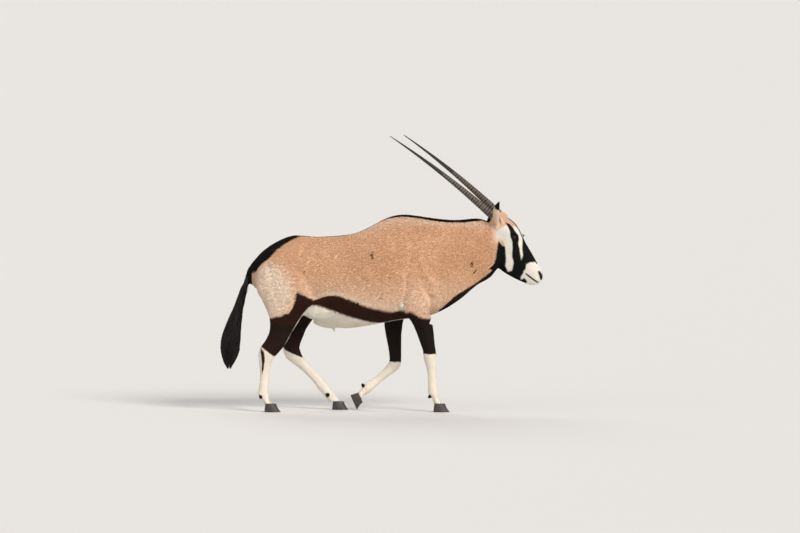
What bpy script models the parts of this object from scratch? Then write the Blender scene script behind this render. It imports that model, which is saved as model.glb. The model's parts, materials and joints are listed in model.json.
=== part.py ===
# A gemsbok bull at a walk, as a still, life-size museum model.
# The animal faces +X, its right side faces -Y, and its feet stand on z = 0. All sizes are metres.

import math
import random

import bmesh
import bpy
import numpy as np
from mathutils import Matrix, Vector

# Driving sizes
GAP = 0.0003
VOXEL = 0.005
BODY_TRIANGLES = 4200
HEAD_TRIANGLES = 2500
SOLE_LENGTH = 0.104
CLAW_WIDTH = 0.037
CORONET_HEIGHT = 0.052
HORN_BASE_RADIUS = 0.0245
HORN_TIP_RADIUS = 0.0022
HORN_SAG = 0.016
HORN_RING_COUNT = 19
HORN_RINGED = 0.50
HORN_RIDGE = 0.0016
EYE_RADIUS = 0.0195
LID_THICKNESS = 0.0042
EYE_PLACE = (0.120, 0.0545, 0.047)
EAR_WALL = 0.0045
LOCK_THICKNESS = 0.0045

# The head's own frame: s runs from the poll to the muzzle, t towards the forehead and nose.
HEAD_ORIGIN = Vector((0.745, -0.020, 1.165))
HEAD_PITCH = math.radians(56)
HEAD_YAW = math.radians(-20)
NECK_CUT_TOP = Vector((0.655, 0.0, 1.215))
NECK_CUT_BOTTOM = Vector((0.716, 0.0, 0.880))

SIDES = {"right": -1, "left": 1}

# Base and tip of each horn
HORN_ENDS = {
    -1: (Vector((0.7020, -0.045, 1.2150)), Vector((0.0550, 0.104, 1.7160))),
    1: (Vector((0.7400, 0.030, 1.2300)), Vector((0.1420, 0.300, 1.7190))),
}

# Trunk and neck, in upright sections from the rump to the poll:
# x, y of the middle, top, bottom, height of the widest line, half width, upper power, lower power
TRUNK = [
    (-0.830, 0.000, 0.893, 0.835, 0.865, 0.024, 2.0, 2.0),
    (-0.800, 0.000, 0.938, 0.780, 0.860, 0.075, 2.0, 2.0),
    (-0.735, 0.000, 1.006, 0.735, 0.860, 0.127, 2.0, 2.0),
    (-0.650, 0.000, 1.063, 0.690, 0.870, 0.160, 2.0, 2.0),
    (-0.550, 0.000, 1.100, 0.640, 0.870, 0.176, 2.0, 2.0),
    (-0.450, 0.000, 1.094, 0.598, 0.850, 0.184, 2.1, 2.1),
    (-0.340, 0.000, 1.093, 0.532, 0.800, 0.203, 2.1, 2.2),
    (-0.220, 0.000, 1.103, 0.516, 0.775, 0.221, 2.0, 2.2),
    (-0.110, 0.000, 1.133, 0.528, 0.775, 0.224, 1.9, 2.2),
    (0.000, 0.000, 1.193, 0.548, 0.785, 0.212, 1.75, 2.1),
    (0.100, 0.000, 1.224, 0.566, 0.805, 0.188, 1.7, 2.0),
    (0.200, 0.000, 1.222, 0.578, 0.830, 0.166, 1.7, 2.0),
    (0.300, 0.000, 1.207, 0.592, 0.850, 0.142, 1.75, 2.0),
    (0.400, 0.000, 1.194, 0.633, 0.890, 0.118, 1.8, 2.0),
    (0.500, -0.003, 1.194, 0.697, 0.940, 0.101, 1.85, 2.0),
    (0.600, -0.009, 1.203, 0.782, 0.995, 0.089, 1.9, 2.0),
    (0.680, -0.016, 1.205, 0.830, 1.020, 0.080, 2.0, 2.0),
    (0.740, -0.020, 1.200, 0.900, 1.050, 0.068, 2.0, 2.0),
]

# Head, in sections square to its axis: s, bottom t, top t, t of the widest line, half width,
# upper power, lower power
HEAD = [
    (-0.088, -0.030, 0.004, -0.012, 0.026, 2.0, 2.0),
    (-0.066, -0.055, 0.026, -0.010, 0.050, 2.0, 2.0),
    (-0.030, -0.085, 0.052, 0.000, 0.063, 2.1, 2.0),
    (0.005, -0.100, 0.070, 0.010, 0.068, 2.2, 2.0),
    (0.045, -0.112, 0.080, 0.022, 0.072, 2.3, 2.0),
    (0.095, -0.130, 0.081, 0.030, 0.074, 2.3, 2.0),
    (0.135, -0.147, 0.074, 0.015, 0.067, 2.2, 2.1),
    (0.175, -0.158, 0.068, -0.020, 0.058, 2.1, 2.2),
    (0.220, -0.160, 0.066, -0.040, 0.051, 2.1, 2.3),
    (0.262, -0.146, 0.064, -0.035, 0.044, 2.1, 2.3),
    (0.305, -0.125, 0.060, -0.020, 0.0385, 2.1, 2.3),
    (0.345, -0.102, 0.0565, -0.005, 0.0365, 2.2, 2.3),
    (0.380, -0.079, 0.051, 0.000, 0.0385, 2.3, 2.3),
    (0.405, -0.063, 0.041, 0.000, 0.037, 2.3, 2.2),
    (0.423, -0.043, 0.027, 0.000, 0.029, 2.2, 2.1),
    (0.432, -0.020, 0.012, -0.002, 0.014, 2.0, 2.0),
]

# Legs, in sections from the top down: x, z, half depth fore and aft, half width, y, tilt of the
# section in degrees from level, narrowing to the rear
LEGS = {
    "hind_right": [
        (-0.590, 1.010, 0.110, 0.045, 0.085, 0, 0.0),
        (-0.592, 0.930, 0.168, 0.072, 0.098, 0, 0.0),
        (-0.590, 0.840, 0.196, 0.086, 0.108, 0, 0.05),
        (-0.582, 0.760, 0.196, 0.087, 0.113, 0, 0.10),
        (-0.572, 0.700, 0.173, 0.080, 0.118, 0, 0.15),
        (-0.585, 0.650, 0.138, 0.069, 0.120, 0, 0.20),
        (-0.596, 0.600, 0.108, 0.058, 0.122, 0, 0.25),
        (-0.607, 0.550, 0.088, 0.048, 0.122, 0, 0.30),
        (-0.626, 0.500, 0.073, 0.041, 0.121, 0, 0.38),
        (-0.650, 0.450, 0.071, 0.036, 0.120, 0, 0.48),
        (-0.684, 0.400, 0.073, 0.035, 0.118, 0, 0.45),
        (-0.707, 0.358, 0.059, 0.035, 0.116, 0, 0.30),
        (-0.720, 0.318, 0.043, 0.030, 0.115, 0, 0.20),
        (-0.725, 0.262, 0.031, 0.023, 0.114, 0, 0.10),
        (-0.728, 0.195, 0.0285, 0.0215, 0.113, 0, 0.05),
        (-0.733, 0.140, 0.031, 0.0255, 0.112, 0, 0.05),
        (-0.735, 0.110, 0.0355, 0.0300, 0.112, -8, 0.10),
        (-0.722, 0.080, 0.0305, 0.0285, 0.112, -24, 0.05),
        (-0.704, 0.054, 0.0330, 0.0330, 0.112, -22, 0.0),
        (-0.694, 0.030, 0.0330, 0.0330, 0.112, -15, 0.0),
    ],
    "hind_left": [
        (-0.575, 1.010, 0.110, 0.045, 0.085, 0, 0.0),
        (-0.565, 0.930, 0.165, 0.072, 0.098, 0, 0.0),
        (-0.540, 0.840, 0.188, 0.086, 0.108, 0, 0.05),
        (-0.510, 0.760, 0.180, 0.086, 0.113, 0, 0.10),
        (-0.492, 0.690, 0.156, 0.077, 0.117, 0, 0.15),
        (-0.498, 0.630, 0.126, 0.064, 0.119, 0, 0.20),
        (-0.516, 0.570, 0.094, 0.052, 0.120, 0, 0.25),
        (-0.534, 0.512, 0.070, 0.043, 0.120, 0, 0.33),
        (-0.549, 0.450, 0.060, 0.037, 0.119, 4, 0.42),
        (-0.562, 0.400, 0.058, 0.035, 0.118, 14, 0.42),
        (-0.556, 0.357, 0.053, 0.035, 0.117, 30, 0.32),
        (-0.528, 0.320, 0.041, 0.030, 0.116, 42, 0.20),
        (-0.480, 0.271, 0.0300, 0.023, 0.115, 45, 0.10),
        (-0.425, 0.214, 0.0285, 0.0215, 0.114, 45, 0.05),
        (-0.386, 0.172, 0.031, 0.0255, 0.113, 42, 0.05),
        (-0.366, 0.148, 0.0350, 0.0300, 0.112, 32, 0.10),
        (-0.336, 0.108, 0.0300, 0.0285, 0.112, 32, 0.05),
        (-0.300, 0.064, 0.0325, 0.0330, 0.112, 15, 0.0),
        (-0.282, 0.036, 0.0330, 0.0330, 0.112, 5, 0.0),
    ],
    "front_left": [
        (0.150, 0.860, 0.095, 0.050, 0.100, 0, 0.0),
        (0.140, 0.790, 0.108, 0.060, 0.112, 0, 0.0),
        (0.122, 0.720, 0.100, 0.058, 0.118, 0, 0.05),
        (0.100, 0.650, 0.082, 0.052, 0.120, 0, 0.10),
        (0.084, 0.590, 0.069, 0.047, 0.120, 0, 0.12),
        (0.077, 0.530, 0.059, 0.043, 0.119, 0, 0.12),
        (0.079, 0.465, 0.050, 0.038, 0.118, 0, 0.12),
        (0.085, 0.400, 0.043, 0.035, 0.117, 0, 0.08),
        (0.089, 0.340, 0.0385, 0.035, 0.116, -4, 0.05),
        (0.088, 0.295, 0.0390, 0.036, 0.115, -22, 0.05),
        (0.066, 0.262, 0.0345, 0.032, 0.114, -42, 0.05),
        (0.024, 0.226, 0.0280, 0.0240, 0.114, -48, 0.05),
        (-0.030, 0.180, 0.0265, 0.0215, 0.113, -49, 0.05),
        (-0.062, 0.156, 0.0295, 0.0260, 0.112, -55, 0.05),
        (-0.082, 0.141, 0.0345, 0.0300, 0.112, -68, 0.10),
        (-0.108, 0.117, 0.0300, 0.0285, 0.112, -86, 0.05),
        (-0.129, 0.089, 0.0330, 0.0330, 0.112, -84, 0.0),
        (-0.147, 0.069, 0.0330, 0.0330, 0.112, -78, 0.0),
    ],
    "front_right": [
        (0.170, 0.860, 0.100, 0.050, 0.100, 0, 0.0),
        (0.172, 0.790, 0.120, 0.060, 0.112, 0, 0.0),
        (0.180, 0.720, 0.116, 0.060, 0.118, 0, 0.05),
        (0.203, 0.655, 0.100, 0.055, 0.120, 0, 0.10),
        (0.232, 0.605, 0.081, 0.050, 0.121, 0, 0.12),
        (0.256, 0.560, 0.067, 0.046, 0.121, 0, 0.12),
        (0.275, 0.495, 0.055, 0.040, 0.120, 0, 0.12),
        (0.290, 0.430, 0.046, 0.036, 0.118, 0, 0.08),
        (0.301, 0.385, 0.0410, 0.0350, 0.117, 0, 0.05),
        (0.306, 0.345, 0.0415, 0.0365, 0.116, 0, 0.05),
        (0.309, 0.308, 0.0360, 0.0320, 0.115, 0, 0.05),
        (0.314, 0.262, 0.0280, 0.0235, 0.114, 0, 0.05),
        (0.319, 0.205, 0.0265, 0.0215, 0.113, 0, 0.05),
        (0.323, 0.150, 0.0295, 0.0260, 0.112, 0, 0.05),
        (0.326, 0.118, 0.0345, 0.0300, 0.112, -8, 0.10),
        (0.339, 0.084, 0.0300, 0.0285, 0.112, -24, 0.05),
        (0.356, 0.056, 0.0330, 0.0330, 0.112, -20, 0.0),
        (0.366, 0.032, 0.0330, 0.0330, 0.112, -12, 0.0),
    ],
}

# Feet: where the middle of the sole stands, and how far the toe is turned down
FEET = {
    "hind_right": (Vector((-0.682, -0.112, 0.0)), 0),
    "hind_left": (Vector((-0.262, 0.112, 0.0)), 0),
    "front_left": (Vector((-0.174, 0.112, 0.050)), 66),
    "front_right": (Vector((0.372, -0.112, 0.0)), 0),
}

# Muscle masses on both sides: x, y, z of the middle, half length, half thickness, half breadth,
# slope of the length in degrees above level
MUSCLES = {
    "shoulder_blade": (0.170, 0.082, 0.950, 0.200, 0.070, 0.105, -55),
    "point_of_shoulder": (0.285, 0.100, 0.800, 0.095, 0.056, 0.072, -60),
    "triceps": (0.165, 0.120, 0.765, 0.125, 0.056, 0.085, 35),
    "forearm_crown": (0.180, 0.118, 0.690, 0.085, 0.048, 0.075, -70),
    "croup": (-0.590, 0.095, 0.945, 0.165, 0.078, 0.105, 18),
    "flank": (-0.360, 0.110, 0.690, 0.160, 0.075, 0.120, 10),
}

# The dock of the tail from the croup down: x, z, radius
DOCK = [
    (-0.765, 0.895, 0.045),
    (-0.800, 0.884, 0.035),
    (-0.821, 0.853, 0.027),
    (-0.838, 0.810, 0.022),
    (-0.853, 0.765, 0.021),
    (-0.867, 0.720, 0.021),
    (-0.880, 0.670, 0.021),
]

# The plates that part the neck and the tail from the torso: middle, and lean in degrees
NECK_ROOT = (0.415, 0.0, 0.900)
NECK_ROOT_LEAN = 18
TAIL_ROOT = (-0.843, 0.0, 0.795)
TAIL_ROOT_LEAN = 17

# Height at which the hair of the tail begins
TAIL_CUT_HEIGHT = 0.685

# Outline of the whole tuft: x, z, half depth fore and aft, half width
TUFT = [
    (-0.880, TAIL_CUT_HEIGHT - GAP, 0.024, 0.022),
    (-0.895, 0.640, 0.032, 0.028),
    (-0.908, 0.590, 0.040, 0.034),
    (-0.922, 0.540, 0.048, 0.040),
    (-0.933, 0.490, 0.056, 0.045),
    (-0.940, 0.440, 0.062, 0.048),
    (-0.944, 0.390, 0.062, 0.047),
    (-0.947, 0.340, 0.052, 0.040),
    (-0.950, 0.300, 0.036, 0.028),
    (-0.951, 0.265, 0.012, 0.010),
]

# Locks of the mane and of the sheath
MANE_LOCKS = 24
MANE_START = 0.060
MANE_END = 0.585
MANE_LENGTH = 0.052
MANE_RISE = 0.010
MANE_LOCK_WIDTH = 0.013
MANE_SEED = 5
SHEATH_LOCKS = 6
SHEATH_TUFT = 0.042

COLOURS = {
    "torso": (0.60, 0.40, 0.27),
    "neck": (0.62, 0.42, 0.29),
    "head": (0.10, 0.08, 0.07),
    "leg": (0.80, 0.74, 0.62),
    "hoof": (0.035, 0.03, 0.028),
    "horn": (0.10, 0.085, 0.07),
    "ear": (0.55, 0.45, 0.36),
    "eye": (0.015, 0.010, 0.008),
    "tail": (0.02, 0.018, 0.018),
}


def clear_scene():
    """Start from an empty file."""
    for obj in list(bpy.data.objects):
        bpy.data.objects.remove(obj, do_unlink=True)


def material(name, colour, roughness=0.85):
    """A plain Principled material."""
    made = bpy.data.materials.new(name)
    made.use_nodes = True
    shader = made.node_tree.nodes["Principled BSDF"]
    shader.inputs["Base Color"].default_value = (*colour, 1.0)
    shader.inputs["Roughness"].default_value = roughness
    shader.inputs["Metallic"].default_value = 0.0
    return made


def add_object(name, bm):
    """Put a finished bmesh in the scene."""
    bmesh.ops.recalc_face_normals(bm, faces=bm.faces)
    mesh = bpy.data.meshes.new(name)
    bm.to_mesh(mesh)
    bm.free()
    obj = bpy.data.objects.new(name, mesh)
    bpy.context.scene.collection.objects.link(obj)
    return obj


def interpolate(rows, steps):
    """Rows on a smooth curve through the given rows, with steps between each two."""
    table = np.array(rows, dtype=float)
    padded = np.vstack([2 * table[0] - table[1], table, 2 * table[-1] - table[-2]])
    result = []
    for index in range(len(table) - 1):
        before, start, end, after = padded[index:index + 4]
        for step in range(steps):
            f = step / steps
            cubic = (2 * before - 5 * start + 4 * end - after) * f * f
            cubic += (3 * start - before - 3 * end + after) * f * f * f
            result.append(start + 0.5 * ((end - before) * f + cubic))
    result.append(table[-1])
    return np.array(result)


def oval(centre, side, up, half_width, rise, drop, powers=(2.0, 2.0), pinch=0.0, corners=28):
    """Closed oval ring: half_width to each side, rise above and drop below the middle."""
    ring = []
    for corner in range(corners):
        turn = 2 * math.pi * corner / corners
        cos, sin = math.cos(turn), math.sin(turn)
        power = powers[0] if sin > 0 else powers[1]
        across = half_width * math.copysign(abs(cos) ** (2 / power), cos)
        height = math.copysign(abs(sin) ** (2 / power), sin)
        across *= 1 + pinch * height
        height *= rise if sin > 0 else drop
        ring.append(centre + side * across + up * height)
    return ring


def loft(name, rings):
    """A closed skin through the rings, with flat ends."""
    bm = bmesh.new()
    loops = [[bm.verts.new(place) for place in ring] for ring in rings]
    bm.faces.new(loops[0])
    bm.faces.new(list(reversed(loops[-1])))
    for near, far in zip(loops, loops[1:]):
        for corner in range(len(near)):
            after = (corner + 1) % len(near)
            bm.faces.new((near[corner], near[after], far[after], far[corner]))
    return add_object(name, bm)


def apply_modifiers(obj):
    """Give the object the mesh that its modifiers make."""
    graph = bpy.context.evaluated_depsgraph_get()
    mesh = bpy.data.meshes.new_from_object(obj.evaluated_get(graph))
    obj.modifiers.clear()
    obj.data = mesh


def boolean(obj, others, operation):
    """Join or cut obj with closed objects, which are then removed.

    The exact solver leaves open edges where cuts of the fused skin meet, so this uses the manifold one.
    """
    group = bpy.data.collections.new(obj.name + "_" + operation.lower())
    bpy.context.scene.collection.children.link(group)
    for other in others:
        group.objects.link(other)
    modifier = obj.modifiers.new("Boolean", "BOOLEAN")
    modifier.operation = operation
    modifier.solver = "MANIFOLD"
    modifier.operand_type = "COLLECTION"
    modifier.collection = group
    apply_modifiers(obj)
    for other in others:
        bpy.data.objects.remove(other, do_unlink=True)
    bpy.data.collections.remove(group)


def islands(obj):
    """The connected parts of a mesh, as lists of face numbers, largest first."""
    bm = bmesh.new()
    bm.from_mesh(obj.data)
    seen = set()
    parts = []
    for face in bm.faces:
        if face.index in seen:
            continue
        part = []
        front = [face]
        seen.add(face.index)
        while front:
            current = front.pop()
            part.append(current.index)
            for edge in current.edges:
                neighbours = edge.link_faces if len(edge.link_faces) == 2 else []
                for neighbour in neighbours:
                    if neighbour.index not in seen:
                        seen.add(neighbour.index)
                        front.append(neighbour)
        parts.append(part)
    bm.free()
    return sorted(parts, key=len, reverse=True)


def keep_largest(obj):
    """Leave only the largest connected part of a mesh."""
    keep = set(islands(obj)[0])
    bm = bmesh.new()
    bm.from_mesh(obj.data)
    bmesh.ops.delete(bm, geom=[face for face in bm.faces if face.index not in keep], context="FACES")
    bm.to_mesh(obj.data)
    bm.free()
    return obj


def split_islands(obj, name_of):
    """Make one object of each connected part, named by its middle, and remove the whole."""
    made = {}
    for part in islands(obj):
        keep = set(part)
        bm = bmesh.new()
        bm.from_mesh(obj.data)
        bmesh.ops.delete(bm, geom=[face for face in bm.faces if face.index not in keep], context="FACES")
        corners = np.array([vert.co for vert in bm.verts])
        name = name_of((corners.min(axis=0) + corners.max(axis=0)) / 2)
        if name in made:
            bm.free()
            continue
        made[name] = add_object(name, bm)
    bpy.data.objects.remove(obj, do_unlink=True)
    return made


def box(name, low, high, turn=Matrix.Identity(4)):
    """A box between two corners, placed by a matrix."""
    bm = bmesh.new()
    bmesh.ops.create_cube(bm, size=1.0)
    low, high = Vector(low), Vector(high)
    size = high - low
    place = Matrix.Translation((low + high) / 2) @ Matrix.Diagonal((*size, 1.0))
    bmesh.ops.transform(bm, matrix=turn @ place, verts=bm.verts)
    return add_object(name, bm)


def ellipsoid(name, centre, radii, slope=0.0):
    """An ellipsoid whose length slopes in the XZ plane."""
    bm = bmesh.new()
    bmesh.ops.create_uvsphere(bm, u_segments=28, v_segments=16, radius=1.0)
    turn = Matrix.Rotation(-math.radians(slope), 4, "Y")
    place = Matrix.Translation(centre) @ turn @ Matrix.Diagonal((*radii, 1.0))
    bmesh.ops.transform(bm, matrix=place, verts=bm.verts)
    return add_object(name, bm)


def head_matrix():
    """From the head's own frame (s, side, t) to the model's."""
    along = Vector((math.cos(HEAD_PITCH), 0.0, -math.sin(HEAD_PITCH)))
    upward = Vector((math.sin(HEAD_PITCH), 0.0, math.cos(HEAD_PITCH)))
    stretch = 1 / math.cos(HEAD_YAW)
    axes = Matrix((
        (along.x * stretch, 0.0, upward.x * stretch, 0.0),
        (0.0, 1.0, 0.0, 0.0),
        (along.z, 0.0, upward.z, 0.0),
        (0.0, 0.0, 0.0, 1.0),
    ))
    return Matrix.Translation(HEAD_ORIGIN) @ Matrix.Rotation(HEAD_YAW, 4, "Z") @ axes


def trunk():
    """Barrel, croup, withers and neck as one long form."""
    rings = []
    for x, y, top, bottom, widest, half, upper, lower in interpolate(TRUNK, 5):
        rings.append(oval(Vector((x, y, widest)), Vector((0, 1, 0)), Vector((0, 0, 1)),
                          half, top - widest, widest - bottom, (upper, lower), corners=40))
    return loft("trunk", rings)


def head_form():
    """Skull, cheeks, jaw and muzzle as one form."""
    place = head_matrix()
    rings = []
    for s, bottom, top, widest, half, upper, lower in interpolate(HEAD, 5):
        flat = oval(Vector((s, 0, widest)), Vector((0, 1, 0)), Vector((0, 0, 1)),
                    half, top - widest, widest - bottom, (upper, lower), corners=32)
        rings.append([place @ point for point in flat])
    return loft("head_form", rings)


def leg_form(leg):
    """One leg from inside the body down to inside the hoof."""
    sign = SIDES[leg.split("_")[1]]
    rings = []
    for x, z, depth, half, y, tilt, narrow in interpolate(LEGS[leg], 4):
        angle = math.radians(tilt)
        forward = Vector((math.cos(angle), 0.0, math.sin(angle)))
        rings.append(oval(Vector((x, sign * y, z)), Vector((0, 1, 0)), forward,
                          half, depth, depth, pinch=narrow, corners=24))
    return loft("leg_form", rings)


def muscle_forms():
    """The masses of shoulder, upper arm, croup and flank on both sides."""
    made = []
    for name, (x, y, z, length, thick, broad, slope) in MUSCLES.items():
        for sign in SIDES.values():
            made.append(ellipsoid(name, (x, sign * y, z), (length, thick, broad), slope))
    return made


def small_forms():
    """Sheath, scrotum and dewclaws."""
    made = [
        ellipsoid("sheath", (-0.350, 0.0, 0.545), (0.085, 0.026, 0.026), -12),
        ellipsoid("scrotum", (-0.520, 0.0, 0.610), (0.036, 0.036, 0.052)),
    ]
    for leg in LEGS:
        for side in SIDES.values():
            place = foot_matrix(leg) @ Vector((-0.071, side * 0.0165, 0.094))
            made.append(ellipsoid("dewclaw", place, (0.012, 0.010, 0.015)))
    return made


def dock_form():
    """The fleshy root of the tail."""
    rings = []
    rows = interpolate(DOCK, 4)
    for (x, z, radius), ahead in zip(rows, np.gradient(rows, axis=0)):
        along = Vector((ahead[0], 0.0, ahead[1])).normalized()
        across = Vector((-along.z, 0.0, along.x))
        rings.append(oval(Vector((x, 0, z)), Vector((0, 1, 0)), across, radius, radius, radius, corners=16))
    return loft("dock_form", rings)


def foot_matrix(leg):
    """From a foot's own frame, middle of the sole at its origin, to the model's."""
    place, pitch = FEET[leg]
    return Matrix.Translation(place) @ Matrix.Rotation(math.radians(pitch), 4, "Y")


def foot_cutter(leg):
    """All below the coronet, where the claws go."""
    low = (-0.068, -0.06, -0.028)
    high = (0.068, 0.06, CORONET_HEIGHT)
    return box("foot_cutter", low, high, foot_matrix(leg))


def fused_body():
    """All flesh joined in one skin, smoothed where the masses meet."""
    parts = [trunk(), head_form(), dock_form(), *muscle_forms(), *small_forms()]
    parts += [leg_form(leg) for leg in LEGS]
    for sign in SIDES.values():
        parts += [lid_mass(sign), horn_pedicle(sign), ear_stalk(sign)]
    bm = bmesh.new()
    for part in parts:
        bm.from_mesh(part.data)
        bpy.data.objects.remove(part, do_unlink=True)
    body = add_object("body", bm)
    remesh = body.modifiers.new("Remesh", "REMESH")
    remesh.mode = "VOXEL"
    remesh.voxel_size = VOXEL
    apply_modifiers(body)
    soften(body)
    return body


def soften(body):
    """Smooth the body most on the trunk, and little on the lower legs and the head."""
    count = len(body.data.vertices)
    places = np.empty(count * 3, dtype=np.float32)
    body.data.vertices.foreach_get("co", places)
    places = places.reshape(-1, 3)
    above_leg = np.clip((places[:, 2] - 0.45) / 0.20, 0.0, 1.0)
    behind_head = np.clip((0.70 - places[:, 0]) / 0.10, 0.0, 1.0)
    for name, weights, passes in (("trunk", above_leg * behind_head, 40), ("all", np.ones(count), 3)):
        group = body.vertex_groups.new(name=name)
        for level in range(1, 11):
            chosen = np.nonzero(np.round(weights * 10) == level)[0]
            group.add([int(index) for index in chosen], level / 10, "REPLACE")
        smooth = body.modifiers.new(name, "SMOOTH")
        smooth.vertex_group = name
        smooth.factor = 0.5
        smooth.iterations = passes
    apply_modifiers(body)
    body.vertex_groups.clear()


def decimate(obj, triangles):
    """Bring a mesh down to about this many triangles."""
    obj.data.calc_loop_triangles()
    modifier = obj.modifiers.new("Decimate", "DECIMATE")
    modifier.ratio = triangles / len(obj.data.loop_triangles)
    modifier.use_collapse_triangulate = True
    apply_modifiers(obj)


def duplicate(obj, name):
    """A second object with its own mesh."""
    bm = bmesh.new()
    bm.from_mesh(obj.data)
    return add_object(name, bm)


def neck_cut(thickness, depth, offset=0.0):
    """A plate across the neck behind the jaw; depth reaches forward or back from the cut."""
    upward = (NECK_CUT_TOP - NECK_CUT_BOTTOM).normalized()
    along = Vector((upward.z, 0.0, -upward.x))
    turn = Matrix((
        (along.x, 0.0, upward.x, NECK_CUT_BOTTOM.x),
        (0.0, 1.0, 0.0, 0.0),
        (along.z, 0.0, upward.z, NECK_CUT_BOTTOM.z),
        (0.0, 0.0, 0.0, 1.0),
    ))
    near, far = sorted((offset, offset + depth + math.copysign(thickness, depth)))
    return box("neck_cut", (near, -0.5, -1.2), (far, 0.5, 1.2), turn)


def eye_place(sign):
    """Middle of an eyeball."""
    s, side, t = EYE_PLACE
    return head_matrix() @ Vector((s, sign * side, t))


def eyeball(name, sign, radius):
    """A round eye, or the socket that it sits in."""
    bm = bmesh.new()
    bmesh.ops.create_uvsphere(bm, u_segments=18, v_segments=10, radius=radius)
    bmesh.ops.translate(bm, vec=eye_place(sign), verts=bm.verts)
    return add_object(name, bm)


def lid_mass(sign):
    """The round of both lids over the eye."""
    return ellipsoid("lid_mass", eye_place(sign), (EYE_RADIUS + LID_THICKNESS,) * 3)


def lid_opening(sign):
    """The almond between the lids, cut from the side."""
    bm = bmesh.new()
    bmesh.ops.create_uvsphere(bm, u_segments=16, v_segments=10, radius=1.0)
    size = Matrix.Diagonal((0.0168, 0.030, 0.0114, 1.0))
    slant = Matrix.Rotation(math.radians(18), 4, "Y")
    lean = Matrix.Rotation(sign * math.radians(-12), 4, "Z")
    s, side, t = EYE_PLACE
    centre = Matrix.Translation((s + 0.003, sign * (side + 0.018), t + 0.001))
    bmesh.ops.transform(bm, matrix=head_matrix() @ centre @ lean @ slant @ size, verts=bm.verts)
    return add_object("lid_opening", bm)


def nostril(sign):
    """A comma-shaped pit at the side of the nose."""
    bm = bmesh.new()
    bmesh.ops.create_uvsphere(bm, u_segments=16, v_segments=10, radius=1.0)
    size = Matrix.Diagonal((0.0200, 0.0100, 0.0052, 1.0))
    slant = Matrix.Rotation(math.radians(14), 4, "Y")
    lean = Matrix.Rotation(sign * math.radians(-32), 4, "Z")
    centre = Matrix.Translation((0.400, sign * 0.0330, 0.026))
    bmesh.ops.transform(bm, matrix=head_matrix() @ centre @ lean @ slant @ size, verts=bm.verts)
    return add_object("nostril", bm)


def mouth_line():
    """A thin slit round the muzzle between the lips, about 6 mm deep."""
    line = [(0.345, -0.036), (0.372, -0.029), (0.398, -0.019), (0.420, -0.008), (0.450, 0.006)]
    half_height = 0.0016
    place = head_matrix()
    rings = []
    for s, t in interpolate([(s, t, 0.0) for s, t in line], 3)[:, :2]:
        corners = [(-0.06, -half_height), (0.06, -half_height), (0.06, half_height), (-0.06, half_height)]
        rings.append([place @ Vector((s, side, t + rise)) for side, rise in corners])
    slit = loft("mouth_line", rings)
    core = []
    for s, bottom, top, widest, half, upper, lower in interpolate(HEAD, 2):
        shrink = 0.007
        if s > 0.29:
            flat = oval(Vector((s - shrink, 0, widest)), Vector((0, 1, 0)), Vector((0, 0, 1)),
                        max(half - shrink, 0.004), max(top - widest - shrink, 0.004),
                        max(widest - bottom - shrink, 0.004), (upper, lower), corners=16)
            core.append([place @ point for point in flat])
    boolean(slit, [loft("mouth_core", core)], "DIFFERENCE")
    return slit


def ear_matrix(sign):
    """From an ear's own frame (z to its tip, x to its opening) to the model's."""
    base = head_matrix() @ Vector((-0.002, sign * 0.058, -0.008))
    upward = Vector(EAR_REACH[sign]).normalized()
    opening = Vector(EAR_OPENING[sign])
    opening = (opening - upward * opening.dot(upward)).normalized()
    side = upward.cross(opening)
    turn = Matrix((opening, side, upward)).transposed().to_4x4()
    return Matrix.Translation(base) @ turn


# Where each ear points and opens: the right one is pricked forward, the left one turned out
EAR_REACH = {-1: (0.012, -0.080, 0.140), 1: (-0.035, 0.140, 0.045)}
EAR_OPENING = {-1: (0.92, 0.38, 0.0), 1: (0.80, 0.40, -0.30)}

# An ear's outline: height, half width, how far it leans to its opening
EAR_SEAT = 0.020
EAR = [
    (EAR_SEAT, 0.0215, 0.000),
    (0.040, 0.027, -0.002),
    (0.060, 0.032, -0.003),
    (0.095, 0.034, -0.004),
    (0.125, 0.029, -0.003),
    (0.150, 0.019, 0.001),
    (0.167, 0.008, 0.005),
    (0.172, 0.003, 0.006),
]


def ear(name, sign):
    """A leaf-shaped cup, open to the front and side."""
    place = ear_matrix(sign)
    rings = []
    cup = []
    for z, half, shift in EAR:
        centre = Vector((shift, 0, z))
        depth = 0.62 * half
        rings.append([place @ p for p in oval(centre, Vector((0, 1, 0)), Vector((1, 0, 0)),
                                              half, depth, depth, corners=14)])
        if z > EAR_SEAT + 0.008 and half > EAR_WALL + 0.002:
            inner = centre + Vector((0.012, 0, 0))
            cup.append([place @ p for p in oval(inner, Vector((0, 1, 0)), Vector((1, 0, 0)),
                                                half - EAR_WALL * 0.7, 0.055, depth + 0.012 - EAR_WALL,
                                                (8.0, 2.0), corners=14)])
    outer = loft(name, rings)
    boolean(outer, [loft("ear_cup", cup)], "DIFFERENCE")
    return outer


def ear_stalk(sign):
    """The short round root that carries an ear."""
    place = ear_matrix(sign)
    radius = EAR[0][1] + 0.001
    rings = []
    for z in (-0.030, EAR_SEAT + 0.012):
        rings.append([place @ p for p in oval(Vector((0, 0, z)), Vector((0, 1, 0)), Vector((1, 0, 0)),
                                              radius, 0.64 * radius, 0.64 * radius, corners=18)])
    return loft("ear_stalk", rings)


def ear_seat(sign):
    """Clears the room of an ear above its stalk."""
    low = (-0.028, -0.034, EAR_SEAT - GAP)
    return box("ear_seat", low, (0.028, 0.034, 0.10), ear_matrix(sign))


def horn_matrix(sign):
    """From a horn's own frame (z to its tip, x to its front) to the model's."""
    base, tip = HORN_ENDS[sign]
    upward = (tip - base).normalized()
    front = Vector((0.6, 0.0, 0.8))
    front = (front - upward * front.dot(upward)).normalized()
    side = upward.cross(front)
    turn = Matrix((front, side, upward)).transposed().to_4x4()
    return Matrix.Translation(base) @ turn


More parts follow.
